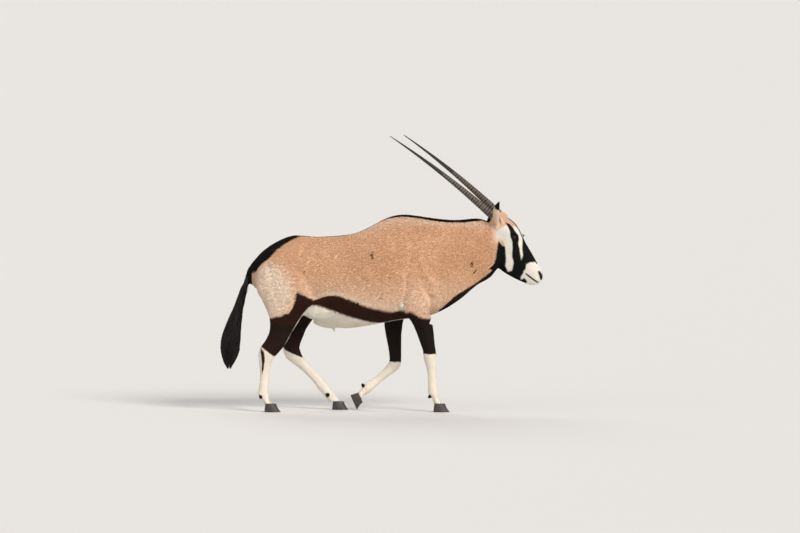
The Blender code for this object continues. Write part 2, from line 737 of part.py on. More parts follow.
def horn(name, sign):
    """A long, nearly straight horn, ringed on its lower half."""
    base, tip = HORN_ENDS[sign]
    length = (tip - base).length
    place = horn_matrix(sign)
    fractions = [index / (HORN_RING_COUNT * 2) * HORN_RINGED for index in range(HORN_RING_COUNT * 2)]
    fractions += [HORN_RINGED + (1 - HORN_RINGED) * index / 9 for index in range(10)]
    rings = []
    for index, along in enumerate(fractions):
        radius = HORN_BASE_RADIUS + (HORN_TIP_RADIUS - HORN_BASE_RADIUS) * along ** 1.08
        if along < HORN_RINGED and index > 0:
            radius += HORN_RIDGE * (1 if index % 2 else -0.6) * (1 - 0.55 * along / HORN_RINGED)
        bow = HORN_SAG * 4 * along * (1 - along)
        centre = Vector((bow, 0.0, GAP + along * (length - GAP)))
        rings.append([place @ p for p in oval(centre, Vector((0, 1, 0)), Vector((1, 0, 0)),
                                              radius * 0.93, radius, radius, corners=10)])
    return loft(name, rings)


def horn_pedicle(sign):
    """The short bony root that carries a horn."""
    place = horn_matrix(sign)
    rings = []
    for z, radius in ((-0.050, 0.030), (-0.022, 0.029), (0.014, 0.0265)):
        rings.append([place @ p for p in oval(Vector((0, 0, z)), Vector((0, 1, 0)), Vector((1, 0, 0)),
                                              radius * 0.95, radius, radius, corners=18)])
    return loft("pedicle", rings)


def horn_seat(sign):
    """Clears the room of a horn above its pedicle."""
    return box("horn_seat", (-0.045, -0.036, 0.0), (0.045, 0.036, 0.12), horn_matrix(sign))


def claw(name, leg, outer):
    """One of the two claws of a foot: flat sole, sloped toe, flat inner wall."""
    rings = []
    steps = 4
    outline = 11
    for step in range(steps + 1):
        up = step / steps
        height = up * (CORONET_HEIGHT - GAP)
        toe = SOLE_LENGTH * (0.56 - 0.28 * up - 0.05 * math.sin(math.pi * up))
        heel = -SOLE_LENGTH * (0.44 - 0.06 * up)
        width = CLAW_WIDTH * (1.0 - 0.14 * up + 0.05 * math.sin(math.pi * up))
        ring = []
        for corner in range(outline):
            turn = math.pi * corner / (outline - 1)
            along = heel + (toe - heel) * (1 - math.cos(turn)) / 2
            share = (along - heel) / (toe - heel)
            bulge = math.sin(turn) ** 0.62 * (1.08 - 0.38 * share)
            ring.append(Vector((along, outer * (0.0028 + width * bulge), height)))
        for corner in range(1, 3):
            along = toe + (heel - toe) * corner / 3
            ring.append(Vector((along, outer * 0.0028, height)))
        rings.append(ring)
    made = loft(name, rings)
    place = foot_matrix(leg) @ Matrix.Rotation(outer * math.radians(3), 4, "Z")
    made.data.transform(place)
    if FEET[leg][1]:
        boolean(made, [box("floor", (-0.4, -0.1, -0.2), (0.3, 0.3, 0.0))], "DIFFERENCE")
    return made


def lock(path, width, normals):
    """A flat, tapered lock of hair along a path, with its broad side facing the normals."""
    rings = []
    count = len(path)
    for index, (place, normal) in enumerate(zip(path, normals)):
        along = (path[min(index + 1, count - 1)] - path[max(index - 1, 0)]).normalized()
        side = along.cross(normal).normalized()
        out = side.cross(along).normalized()
        share = index / (count - 1)
        half = 0.5 * width * (0.75 + 0.6 * share) * (1 - share ** 2.2) + 0.0005
        thick = 0.5 * LOCK_THICKNESS * (1 - 0.75 * share)
        rings.append([place - side * half, place + out * thick, place + side * half, place - out * thick])
    return loft("lock", rings)


def tail_tuft():
    """The long hair of the tail, as one smooth form out to its tip."""
    rings = []
    for x, z, depth, half in interpolate(TUFT, 3):
        rings.append(oval(Vector((x, 0, z)), Vector((0, 1, 0)), Vector((1, 0, 0)),
                          half, depth, depth, corners=20))
    return loft("tail_tuft", rings)


def mane_locks():
    """Short locks along the crest of the neck, lying forward in two rows."""
    chance = random.Random(MANE_SEED)
    rows = interpolate(TRUNK, 5)
    made = []
    for index in range(MANE_LOCKS):
        start = MANE_START + (MANE_END - MANE_START) * index / (MANE_LOCKS - 1)
        side = (1 if index % 2 else -1) * chance.uniform(0.003, 0.007)
        length = MANE_LENGTH * chance.uniform(0.9, 1.1)
        rise = MANE_RISE * min(1.0, 0.55 + 1.2 * index / MANE_LOCKS)
        path = []
        for share in (0.0, 0.33, 0.68, 1.0):
            x = start + length * share
            middle = float(np.interp(x, rows[:, 0], rows[:, 1]))
            crest = float(np.interp(x, rows[:, 0], rows[:, 2]))
            lift = -0.010 + (rise + 0.010) * math.sin(math.pi * 0.5 * min(1.0, 1.5 * share))
            path.append(Vector((x, middle + side * (1 + 0.5 * share), crest + lift)))
        normals = [Vector((0.0, side * 60, 1.0))] * len(path)
        made.append(lock(path, MANE_LOCK_WIDTH, normals))
    return made


def sheath_locks():
    """The pointed tuft of hair at the end of the sheath."""
    made = []
    root = Vector((-0.300, 0.0, 0.535))
    for index in range(SHEATH_LOCKS):
        turn = 2 * math.pi * index / SHEATH_LOCKS
        out = Vector((math.cos(turn), math.sin(turn), 0.0))
        path = []
        for share, spread in ((0.0, 0.004), (0.35, 0.010), (0.7, 0.008), (1.0, 0.003)):
            fall = Vector((0.008 * share, 0.0, -SHEATH_TUFT * share))
            path.append(root + fall + out * spread)
        made.append(lock(path, 0.014, [out] * len(path)))
    return made


def body_name(middle):
    """The node that a part of the cut body belongs to, from its middle."""
    x, y, z = middle
    if z < 0.62:
        return "leg_" + ("front" if x > -0.1 else "hind") + ("_left" if y > 0 else "_right")
    if x < -0.82 and z > 0.60:
        return "tail"
    if x > 0.40:
        return "neck"
    return "torso"


# Height of the plate that parts each leg from the torso
LEG_CUT_HEIGHTS = {"hind_right": 0.560, "hind_left": 0.556, "front_left": 0.540, "front_right": 0.548}


def leg_cut(leg):
    """The thin level plate that parts a leg from the torso, just below the belly."""
    height = LEG_CUT_HEIGHTS[leg]
    rows = np.array(LEGS[leg])
    middle = float(np.interp(-height, -rows[:, 1], rows[:, 0]))
    sign = SIDES[leg.split("_")[1]]
    inner, outer = sorted((sign * 0.03, sign * 0.26))
    return box("leg_cut", (middle - 0.13, inner, height), (middle + 0.13, outer, height + GAP))


def leaning(middle, lean):
    """The place of a cut that leans about the cross axis by an angle in degrees."""
    return Matrix.Translation(middle) @ Matrix.Rotation(math.radians(lean), 4, "Y")


def neck_root_cut():
    """The thin leaning plate that parts the neck from the shoulders."""
    return box("neck_root", (0.0, -0.3, -0.5), (GAP, 0.3, 0.5), leaning(NECK_ROOT, NECK_ROOT_LEAN))


def tail_root_cut():
    """The thin leaning plate that parts the bare tail from the croup."""
    return box("tail_root", (-0.036, -0.06, -GAP), (0.036, 0.06, 0.0), leaning(TAIL_ROOT, TAIL_ROOT_LEAN))


def tail_end_cut():
    """The block that ends the bare tail where its hair begins."""
    x, z, _ = DOCK[-1]
    return box("tail_end", (x - 0.12, -0.1, z - 0.17), (x + 0.08, 0.1, TAIL_CUT_HEIGHT))


def centre_on_origin(nodes):
    """Move every node so that the middle of the whole stands over the origin."""
    corners = np.array([obj.bound_box for obj in nodes.values()]).reshape(-1, 3)
    middle = (corners.min(axis=0) + corners.max(axis=0)) / 2
    for obj in nodes.values():
        obj.data.transform(Matrix.Translation((-middle[0], -middle[1], 0.0)))


def dress(obj, colour_name, roughness=0.85):
    """Give a node its material."""
    obj.data.materials.clear()
    obj.data.materials.append(material(obj.name, COLOURS[colour_name], roughness))


def main():
    """Build every node."""
    clear_scene()
    whole = fused_body()

    head = duplicate(whole, "head")
    boolean(head, [neck_cut(0.0, -3.0, offset=0.0)], "DIFFERENCE")
    boolean(head, [make(sign) for sign in SIDES.values() for make in (horn_seat, ear_seat)], "DIFFERENCE")
    decimate(head, HEAD_TRIANGLES)
    cutters = [eyeball("socket", sign, EYE_RADIUS + GAP) for sign in SIDES.values()]
    cutters += [nostril(sign) for sign in SIDES.values()]
    cutters += [mouth_line()]
    boolean(head, cutters, "DIFFERENCE")
    boolean(head, [lid_opening(sign) for sign in SIDES.values()], "DIFFERENCE")
    nodes = {"head": keep_largest(head)}

    boolean(whole, [neck_cut(0.0, 3.0, offset=-GAP)], "DIFFERENCE")
    decimate(whole, BODY_TRIANGLES)
    boolean(whole, mane_locks() + sheath_locks(), "UNION")
    cutters = [foot_cutter(leg) for leg in LEGS]
    cutters += [leg_cut(leg) for leg in LEGS]
    cutters += [neck_root_cut(), tail_root_cut(), tail_end_cut()]
    boolean(whole, cutters, "DIFFERENCE")
    nodes.update(split_islands(whole, body_name))

    for side, sign in SIDES.items():
        nodes["eye_" + side] = eyeball("eye_" + side, sign, EYE_RADIUS)
        nodes["horn_" + side] = horn("horn_" + side, sign)
        nodes["ear_" + side] = ear("ear_" + side, sign)
    for leg in LEGS:
        for label, outer in (("outer", 1), ("inner", -1)):
            sign = SIDES[leg.split("_")[1]]
            name = "hoof_" + leg + "_" + label
            nodes[name] = claw(name, leg, outer * sign)
    nodes["tail_tuft"] = tail_tuft()

    bpy.context.view_layer.update()
    centre_on_origin(nodes)
    for name, obj in nodes.items():
        dress(obj, name.split("_")[0])


main()
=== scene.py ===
# A gemsbok bull at a walk, life size, with its skin, coat, horns, claws and eyes.
# The animal faces +X and its right side faces -Y. All sizes are metres.
# "Drawn places" are side-view places in steps of 6.25 mm: across to the right, and down.

import json
import math
import random

import bmesh
import bpy
import numpy as np
from mathutils import Matrix, Vector
from mathutils.bvhtree import BVHTree
from mathutils.geometry import barycentric_transform

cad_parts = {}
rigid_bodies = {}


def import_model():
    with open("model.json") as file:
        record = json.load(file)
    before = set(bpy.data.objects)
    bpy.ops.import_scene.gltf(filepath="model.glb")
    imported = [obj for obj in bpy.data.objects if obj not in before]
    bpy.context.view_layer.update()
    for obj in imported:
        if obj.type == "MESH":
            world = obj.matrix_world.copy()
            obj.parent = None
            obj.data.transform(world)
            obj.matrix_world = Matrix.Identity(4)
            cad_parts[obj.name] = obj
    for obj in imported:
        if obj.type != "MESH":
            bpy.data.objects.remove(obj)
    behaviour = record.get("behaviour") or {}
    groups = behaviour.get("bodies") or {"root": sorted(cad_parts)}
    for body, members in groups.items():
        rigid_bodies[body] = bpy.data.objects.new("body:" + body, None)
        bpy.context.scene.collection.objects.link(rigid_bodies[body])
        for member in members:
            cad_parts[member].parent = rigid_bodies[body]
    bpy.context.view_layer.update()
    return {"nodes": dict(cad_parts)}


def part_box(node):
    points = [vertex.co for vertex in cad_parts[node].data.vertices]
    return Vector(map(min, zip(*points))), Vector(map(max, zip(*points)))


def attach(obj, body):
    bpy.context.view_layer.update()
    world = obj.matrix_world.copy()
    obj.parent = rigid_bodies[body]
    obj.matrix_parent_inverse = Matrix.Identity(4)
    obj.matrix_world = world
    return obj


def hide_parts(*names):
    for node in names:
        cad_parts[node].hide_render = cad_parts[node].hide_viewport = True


STEP = 0.00625
DRAWN_ORIGIN = (381.0, 411.0)

# The head's own frame: s runs from the poll to the muzzle, t towards the forehead and nose
HEAD_ORIGIN = Vector((0.745, -0.020, 1.165))
HEAD_PITCH = math.radians(56)
HEAD_YAW = math.radians(-20)
NECK_CUT_TOP = (0.655, 1.215)
NECK_CUT_BOTTOM = (0.716, 0.880)
EYE_PLACE = (0.120, 0.0545, 0.047)
EYE_GAZE = (0.30, 0.92, 0.10)
EYE_RADIUS = 0.0195
SIDES = {"right": -1, "left": 1}

# Horns: base and tip for the right side (-1) and the left (1)
HORN_ENDS = {
    -1: (Vector((0.7020, -0.045, 1.2150)), Vector((0.0550, 0.104, 1.7160))),
    1: (Vector((0.7400, 0.030, 1.2300)), Vector((0.1420, 0.300, 1.7190))),
}
HORN_BASE_RADIUS = 0.0240
HORN_TIP_RADIUS = 0.0022
HORN_SAG = 0.016
HORN_RINGS = 24
HORN_RINGED = 0.50
HORN_CORNERS = 28
STEPS_PER_RING = 8
HORN_RING_HEIGHT = 0.0030
HORN_TIP_STEPS = 40
# Ears: which way each reaches from its root
EAR_REACH = {-1: Vector((0.012, -0.080, 0.140)), 1: Vector((-0.035, 0.140, 0.045))}
EAR_ROOT = (-0.002, 0.058, -0.008)
EAR_LENGTH = 0.172
EAR_HALF_WIDTH = 0.046
EAR_TIP_SHARE = 0.74

# Feet: middle of the sole, and how far the toe is turned down in degrees
FEET = [
    (Vector((-0.682, -0.112, 0.0)), 0),
    (Vector((-0.262, 0.112, 0.0)), 0),
    (Vector((-0.174, 0.112, 0.050)), 66),
    (Vector((0.372, -0.112, 0.0)), 0),
]
DEWCLAW_PLACE = (-0.071, 0.0165, 0.094)
DEWCLAW_DARK = 0.0165
DEWCLAW_BARE = 0.0150
CLAW_VOXEL = 0.0021

# The skin over the flesh, and the coat and hair that stand on it
FLESH = ["head", "neck", "torso", "tail", "ear_left", "ear_right",
         "leg_hind_left", "leg_hind_right", "leg_front_left", "leg_front_right"]
SKIN_VOXEL = 0.0034
SKIN_TRIANGLES = 186000
GUIDE_TRIANGLES = 6000
TRUNK_PASSES = 46
ALL_PASSES = 5
BODY_DEPTH = 0.0050
FINE_DEPTH = 0.0016
TUFTS = 128000
TUFTS_PER_PIECE = 18500
TUFT_PATCH = 0.003
TAIL_STRANDS = 1900
BACK_STRANDS = 700
NECK_STRANDS = 1700
LASHES = 90
SEED = 7
# Distance that stands for far outside a marking
OUTSIDE = -0.5

# Each coat: fineness of its grain, wander of its edges, and its low and high white
COATS = {
    "fawn_coat": (420.0, 0.010, (230, 220, 203), (250, 245, 234)),
    "head_coat": (700.0, 0.004, (240, 234, 222), (254, 252, 246)),
    "ear_coat": (700.0, 0.004, (232, 224, 210), (250, 246, 238)),
    "leg_coat": (600.0, 0.007, (226, 212, 190), (246, 236, 216)),
}

# Lights: name, place they shine from, strength, spread in degrees, colour
SUNS = [
    ("key", (3.4, -4.6, 3.7), 2.7, 24, (1.0, 0.965, 0.92)),
    ("fill", (-4.5, -3.5, 2.0), 0.55, 60, (0.95, 0.97, 1.0)),
    ("back", (-1.5, 4.8, 3.6), 0.9, 40, (1.0, 1.0, 1.0)),
]
FLOOR_REACH = 2500.0
PHOTO_WIDTH = 800
PHOTO_MIDDLE = (400, 266.5)
CAMERA_DISTANCE = 40.0
CAMERA_ELEVATION = math.radians(2.5)
VIEW_REACH = 5000.0

# Sideways shift of the far legs against the near ones at each height: (height, shift)
HIND_SHIFT = [
    (0.27, -0.24), (0.32, -0.19), (0.357, -0.151), (0.4, -0.122), (0.45, -0.101), (0.51, -0.088),
    (0.57, -0.087), (0.63, -0.093), (0.7, -0.08), (0.76, -0.072), (0.84, -0.05)]
FORE_SHIFT = [
    (0.3, 0.22), (0.345, 0.217), (0.385, 0.215), (0.43, 0.208), (0.495, 0.198), (0.56, 0.175),
    (0.6, 0.15), (0.65, 0.105), (0.72, 0.058), (0.79, 0.032)]
FAR_KNEE_DROP = 0.062
# Middle of the near foreleg at each height
NEAR_FORE_MIDDLE = [
    (0.3, 0.309), (0.385, 0.301), (0.43, 0.29), (0.495, 0.275), (0.56, 0.256), (0.605, 0.232),
    (0.655, 0.203), (0.72, 0.18)]

# Dark markings of the coat, drawn from the side, and a painted shade behind the near hock
DARK = {
    "flank_band": [
        (309, 301), (314, 299), (318, 297.6), (324, 295.5), (330, 294), (337, 293.6), (344, 295.4),
        (350, 297.6), (358, 300.8), (365, 303.7), (374, 306.6), (383, 308.8), (391, 310.6),
        (398, 309.6), (404, 308.6), (408, 312), (408, 318), (400, 321.5), (391, 322.6), (382, 322.3),
        (372, 321.3), (360, 318), (345, 313.2), (330, 307.6), (318, 303.3), (312, 304)],
    "thigh": [
        (298, 289.5), (301, 291.5), (306, 294.5), (314, 298), (317, 301), (310.5, 304.5), (304, 311.5),
        (298.5, 319.5), (292, 331), (284.5, 345), (279, 353), (274, 355), (268, 350.5), (262, 346),
        (256, 343), (250, 330), (254, 321), (271, 316.2), (280, 314.6), (290, 311), (294, 305),
        (296.6, 298)],
    "forearm": [
        (401, 309), (404.5, 312.6), (407.6, 311.2), (410.8, 309.6), (414, 311.6), (419, 315.2),
        (425, 317), (430, 316.8), (431.4, 314.4), (437, 314.4), (440, 317), (436, 318), (432.4, 317.5),
        (432.6, 323.5), (434.5, 325.5), (444, 328), (444, 352), (430, 353), (424, 352.5), (412, 350),
        (402, 349), (402, 326), (399, 320), (398, 313)],
    # Not a marking: painted shade down the hollow at the back of the near hind cannon
    "hock_hollow_shade": [
        (261, 346), (264.6, 351), (265.2, 358), (264, 368), (262.6, 373), (262, 373), (262.4, 362),
        (261.2, 352)],
    "rear_cheek": [
        (489, 268), (494.5, 263), (496.5, 256), (497.3, 248), (498.3, 240.5), (500, 242.5),
        (502.5, 245.6), (505.2, 246), (505.4, 252), (506, 258), (505.4, 266), (507.4, 269.5),
        (508, 273), (502, 273), (496, 271)],
    "cheek_band": [
        (505.5, 222), (509.5, 223.5), (512.6, 227), (515, 231), (518, 235), (518.8, 239), (518, 243),
        (519, 247), (520, 253), (521, 259.5), (523, 261), (526, 263.5), (525.5, 268), (523.5, 270.5),
        (523, 273), (520.4, 277), (521.2, 279.4), (524.4, 277.5), (527, 281), (524, 287), (512, 282),
        (502, 274), (503, 270.5), (508, 271.6), (512, 270.2), (513.6, 262), (512, 256), (512.3, 250),
        (512, 240), (510.3, 236), (509.5, 230)],
    "nose_blaze": [
        (511, 220), (516, 218), (522, 224), (526, 232), (531, 240), (536, 249), (541, 257), (541, 262),
        (536, 261.4), (530, 261.6), (526, 263.6), (521, 262), (520.8, 259.6), (522.8, 255), (522, 247),
        (522.4, 240), (521.3, 234), (519.2, 229), (515, 224.5)],
    "nostril": [
        (537.2, 270.6), (539.4, 270.2), (541.6, 274), (542, 279), (540, 279.4), (539, 275)],
    "mouth": [
        (525.5, 272.3), (530, 275.3), (535, 279), (538.5, 281.2), (538, 282.4), (533, 279.6),
        (528, 275.8), (525, 273.6)],
}

HEAD_MARKS = ("rear_cheek", "cheek_band", "nose_blaze", "nostril", "mouth")
HEAD_START = 0.60

# White markings, drawn from the side
WHITE = {
    "face": [
        (497, 237), (496.5, 231), (501, 228), (504.5, 225), (507, 224.5), (513, 226.5), (520, 226),
        (532, 240), (552, 250), (552, 295), (504, 295), (504.5, 246), (503, 240), (499, 238)],
    "belly": [
        (316, 303), (330, 307.4), (345, 313), (360, 317.6), (372, 321), (382, 322), (391, 322.2),
        (402, 320.5), (414, 322), (414, 345), (300, 345), (300, 318), (304, 311), (310, 304.6)],
    "elbow": [
        (400.5, 301), (403.3, 300), (404.2, 306), (405.4, 311.5), (402.5, 309.5), (399.8, 307)],
    "forearm_front": [
        (432.6, 316), (435, 317), (435.5, 322), (434, 327), (432.4, 325)],
}

# Old scars on the near side: ends and half width, drawn from the side
SCARS = [
    ((373.0, 251.5), (373.8, 256.5), 1.0),
    ((305.2, 270.3), (305.6, 271.2), 0.7),
    ((381.4, 296.2), (382.2, 297.2), 0.8),
    ((390.4, 276.0), (390.8, 277.6), 0.5),
    ((472.4, 260.8), (472.8, 265.8), 0.9),
    ((473.6, 272.6), (476.4, 269.2), 0.7),
    ((435.8, 244.6), (436.6, 247.0), 0.4),
]

# Softly paler parts: half the width of the soft edge in metres, and the outline
PALE = [
    (0.062, [
        (258, 268), (268, 261), (282, 266), (293, 280), (296, 296), (293, 306), (283, 313), (262, 320),
        (252, 312), (252, 285)]),
    (0.033, [
        (312, 296), (322, 291), (336, 289), (352, 293), (372, 301), (398, 304), (400, 309), (384, 308),
        (364, 303), (337, 293)]),
    (0.033, [
        (494, 226), (498, 224), (504, 228), (505, 240), (500, 246), (494, 240)]),
]

# Lower edge of the black patch on the croup: across, down
CROUP_EDGE = [
    (240, 275), (250, 272), (257, 270), (260, 265.5), (265, 261), (270, 257.5), (278, 249),
    (285, 244.2), (292, 240), (300, 237), (306, 235.5)]
# Lower outline of the neck, where the black throat line runs: across, down
THROAT = [
    (440, 312), (443, 310), (455, 299), (466, 292), (477, 285.5), (488, 277), (497, 269)]
THROAT_WIDTH = 3.6

# Creases and swells under the coat: side-view line, half width and depth in metres
FOLDS = [
    ([(411, 256), (409, 268), (407, 282), (405, 294), (403, 303)], 0.014, 0.0050),
    ([(403, 303), (396, 308), (388, 309)], 0.012, 0.0030),
    ([(300, 288), (305, 277), (311, 266), (315, 255)], 0.024, 0.0040),
    ([(299, 292), (308, 295), (318, 297)], 0.012, 0.0035),
    ([(268, 262), (272, 280), (276, 298)], 0.016, 0.0028),
    ([(424, 268), (432, 284), (437, 300)], 0.018, -0.0035),
    ([(418, 246), (421, 262), (424, 276)], 0.020, -0.0032),
    ([(441, 262), (437, 276), (434, 290)], 0.014, 0.0030),
    ([(478, 240), (470, 258), (458, 276)], 0.020, 0.0022),
    ([(490, 246), (482, 262), (470, 279)], 0.013, -0.0020),
    ([(417, 318), (420, 330), (425, 345)], 0.008, 0.0020),
]

# Fine folds of the face in the head's own frame: (s, side, t) line, half width, depth
FACE_FOLDS = [
    ([(0.345, 0.036, -0.036), (0.372, 0.037, -0.029), (0.398, 0.034, -0.019),
      (0.420, 0.026, -0.008), (0.434, 0.010, -0.002)], 0.0034, 0.0032),
    ([(0.138, 0.066, 0.030), (0.152, 0.062, 0.016), (0.170, 0.058, 0.006)], 0.0045, 0.0028),
    ([(0.100, 0.066, 0.068), (0.118, 0.066, 0.076), (0.138, 0.062, 0.070)], 0.0050, 0.0022),
    ([(0.105, 0.074, 0.026), (0.122, 0.075, 0.019), (0.142, 0.071, 0.022)], 0.0040, 0.0024),
    ([(0.160, 0.058, 0.000), (0.215, 0.052, -0.012), (0.270, 0.044, -0.018)], 0.0090, -0.0026),
    ([(0.190, 0.045, 0.030), (0.260, 0.036, 0.030), (0.330, 0.031, 0.030)], 0.0100, 0.0020),
    ([(0.386, 0.038, 0.040), (0.404, 0.036, 0.034), (0.416, 0.030, 0.022)], 0.0055, -0.0028),
    ([(0.100, 0.066, -0.100), (0.150, 0.060, -0.110), (0.200, 0.050, -0.105)], 0.0120, 0.0026),
]


# Outline of the tail's hair: height, x, half depth fore and aft, half width
TAIL_HAIR = [
    (0.84, -0.828, 0.026, 0.026), (0.78, -0.849, 0.024, 0.024), (0.72, -0.868, 0.024, 0.023),
    (0.64, -0.893, 0.029, 0.025), (0.59, -0.908, 0.038, 0.032), (0.54, -0.922, 0.046, 0.038),
    (0.49, -0.933, 0.054, 0.043), (0.44, -0.94, 0.06, 0.046), (0.39, -0.944, 0.06, 0.045),
    (0.34, -0.947, 0.05, 0.038), (0.3, -0.95, 0.035, 0.027), (0.266, -0.951, 0.012, 0.01)]


def linear(red, green, blue):
    """A colour given in everyday 0 to 255 steps, in linear light."""
    steps = [value / 255 for value in (red, green, blue)]
    shares = [((v + 0.055) / 1.055) ** 2.4 if v > 0.04045 else v / 12.92 for v in steps]
    return (*shares, 1.0)


def smooth(low, high, values):
    """0 below low, 1 above high, and smooth between."""
    share = np.clip((values - low) / (high - low), 0.0, 1.0)
    return share * share * (3 - 2 * share)


def head_matrix():
    """From the head's own frame (s, side, t) to the animal's."""
    along = Vector((math.cos(HEAD_PITCH), 0.0, -math.sin(HEAD_PITCH)))
    upward = Vector((math.sin(HEAD_PITCH), 0.0, math.cos(HEAD_PITCH)))
    stretch = 1 / math.cos(HEAD_YAW)
    axes = Matrix((
        (along.x * stretch, 0.0, upward.x * stretch, 0.0),
        (0.0, 1.0, 0.0, 0.0),
        (along.z, 0.0, upward.z, 0.0),
        (0.0, 0.0, 0.0, 1.0),
    ))
    return Matrix.Translation(HEAD_ORIGIN) @ Matrix.Rotation(HEAD_YAW, 4, "Z") @ axes


def mirrored(place, sign):
    """A place or direction, given for the left side, on the side of the sign."""
    return Vector((place[0], sign * place[1], place[2]))


def eye_frame(sign):
    """An eye's middle, where it looks, and its level and upright directions."""
    middle = head_matrix() @ mirrored(EYE_PLACE, sign)
    gaze = (head_matrix().to_3x3() @ mirrored(EYE_GAZE, sign)).normalized()
    level = Vector((0, 0, 1)).cross(gaze).normalized()
    return middle, gaze, level, gaze.cross(level)


def head_places(points):
    """Places in the head's own frame."""
    back = np.array(head_matrix().inverted())
    return points @ back[:3, :3].T + back[:3, 3]


def head_share(points):
    """0 on the neck, growing to 1 on the head over a hand's breadth."""
    (top_x, top_z), (low_x, low_z) = NECK_CUT_TOP, NECK_CUT_BOTTOM
    edge = low_x + (points[:, 2] - low_z) * (top_x - low_x) / (top_z - low_z)
    return smooth(0.0, 0.06, points[:, 0] - edge)


def look_up(table, where, column=1):
    """A column of a table, read at places along its first column."""
    rows = np.array(table)
    return np.interp(where, rows[:, 0], rows[:, column])


def drawn_places(points):
    """Where each point lies on the side drawing, with the far side laid over the near one."""
    x, y, z = points.T
    own = head_places(points)
    head = head_share(points)
    far = smooth(0.0, 0.03, y)
    sideways = math.sin(-HEAD_YAW) * (np.abs(own[:, 1]) + own[:, 1])
    hind = far * smooth(-0.33, -0.43, x) * smooth(0.86, 0.62, z) * (1 - head)
    fore_shift = look_up(FORE_SHIFT, z)
    from_middle = np.abs(x - look_up(NEAR_FORE_MIDDLE, z) + fore_shift)
    fore = far * smooth(0.135, 0.095, from_middle) * smooth(0.66, 0.58, z) * (x > -0.25)
    across = x - head * sideways + hind * look_up(HIND_SHIFT, z) + fore * fore_shift
    up = z + fore * FAR_KNEE_DROP * smooth(0.52, 0.36, z)
    return np.stack([DRAWN_ORIGIN[0] + across / STEP, DRAWN_ORIGIN[1] - up / STEP], axis=1)


def nearest_gap(places, starts, ends):
    """Distance to the nearest of the stretches from starts to ends."""
    nearest = np.full(len(places), 1e9)
    for start, end in zip(starts, ends):
        along = end - start
        share = np.clip((places - start) @ along / (along @ along), 0.0, 1.0)
        gap = places - start - share[:, None] * along
        nearest = np.minimum(nearest, (gap ** 2).sum(axis=1))
    return np.sqrt(nearest)


def line_distance(places, line):
    """Distance to a line of places, in the places' own measure."""
    corners = np.array(line, float)
    return nearest_gap(places, corners, corners[1:])


def inside_distance(places, outline):
    """Distance in metres to a drawn outline, positive inside it."""
    corners = np.array(outline, float)
    ends = np.roll(corners, -1, axis=0)
    across, down = places.T
    crossings = np.zeros(len(places), int)
    for start, end in zip(corners, ends):
        straddles = (start[1] > down) != (end[1] > down)
        rise = end[1] - start[1] or 1e-9
        meet = start[0] + (down - start[1]) * (end[0] - start[0]) / rise
        crossings += straddles & (across < meet)
    return nearest_gap(places, corners, ends) * STEP * np.where(crossings % 2, 1.0, -1.0)


def dewclaw_places():
    """Middles of the eight dewclaws."""
    found = []
    for place, pitch in FEET:
        foot = Matrix.Translation(place) @ Matrix.Rotation(math.radians(pitch), 4, "Y")
        found += [np.array(foot @ mirrored(DEWCLAW_PLACE, sign)) for sign in SIDES.values()]
    return found


def ear_share(points):
    """How far out each point lies along its ear, or 0 where there is none."""
    share = np.zeros(len(points))
    for sign, reach in EAR_REACH.items():
        base = np.array(head_matrix() @ mirrored(EAR_ROOT, sign))
        axis = np.array(reach.normalized())
        out = (points - base) @ axis
        off = np.linalg.norm(points - base - out[:, None] * axis, axis=1)
        inside = (off < EAR_HALF_WIDTH) & (out > 0.022) & (out < EAR_LENGTH + 0.02)
        share = np.where(inside, out / EAR_LENGTH, share)
    return share


def only(where, inside):
    """Distances into a marking where it may lie, and far outside it elsewhere."""
    return np.where(where, inside, OUTSIDE)


def drawn_dark(points, places):
    """Distance into the dark markings that are drawn from the side, and into the painted shade behind
    the near hock.
    """
    x, y, z = points.T
    dark = np.full(len(points), OUTSIDE)
    for name, outline in DARK.items():
        inside = inside_distance(places, outline)
        if name in HEAD_MARKS:
            inside = only(x > HEAD_START, inside)
        if name in ("flank_band", "forearm"):
            inside = np.where(np.abs(y) < 0.03, np.minimum(inside, -0.01), inside)
        if name == "thigh":
            inner = smooth(0.118, 0.100, np.abs(y)) * smooth(0.66, 0.56, z)
            inside = inside + 0.022 * inner
        # The painted shade behind the hock is on the near side only
        if name == "hock_hollow_shade":
            inside = only(y < 0, inside)
        dark = np.maximum(dark, inside)
    for start, end, half in SCARS:
        mark = half * STEP - line_distance(places, [start, end]) * STEP
        dark = np.maximum(dark, only(y < 0, mark))
    return dark


def dark_edges(points, places, head):
    """Distance into the dark of croup, back, throat, tail and bridge of the nose."""
    x, y, z = points.T
    across, down = places.T
    own = head_places(points)
    croup = (look_up(CROUP_EDGE, across) - down) * STEP * 0.75
    spine = 0.0065 + 0.009 * smooth(0.0, -0.45, x) + 0.0105 * smooth(0.03, 0.07, x)
    throat = (down - look_up(THROAT, across) + THROAT_WIDTH) * STEP
    throat = only((across > 440) & (across < 500) & (z < 0.99) & (z > 0.60), throat)
    bridge = (own[:, 0] > -0.01) & (own[:, 0] < 0.33) & (own[:, 2] > 0.03) & (head > 0.5)
    return np.maximum.reduce([
        only((across < 306) & (z > 0.80), croup),
        only((z > 1.05) & (x > -0.56) & (x < 0.70), spine - np.abs(y - crest_middle(x))),
        throat * (1 - head) + OUTSIDE * head,
        only((x < -0.805) & (z < 0.90) & (np.abs(y) < 0.06), 0.03),
        only(bridge, 0.009 - np.abs(own[:, 1])),
    ])


def white_distance(points, places):
    """Distance into the white of face, belly, elbow and lower legs."""
    x, y, z = points.T
    white = np.full(len(points), OUTSIDE)
    for name, outline in WHITE.items():
        inside = inside_distance(places, outline)
        if name == "face":
            inside = only(x > HEAD_START, inside)
        white = np.maximum(white, inside)
    under = (x > -0.45) & (x < 0.20) & (np.abs(y) < 0.06)
    white = np.maximum(white, only(under, 0.62 - z))
    return np.maximum(white, np.where(x < -0.30, 0.60, 0.50) - z)


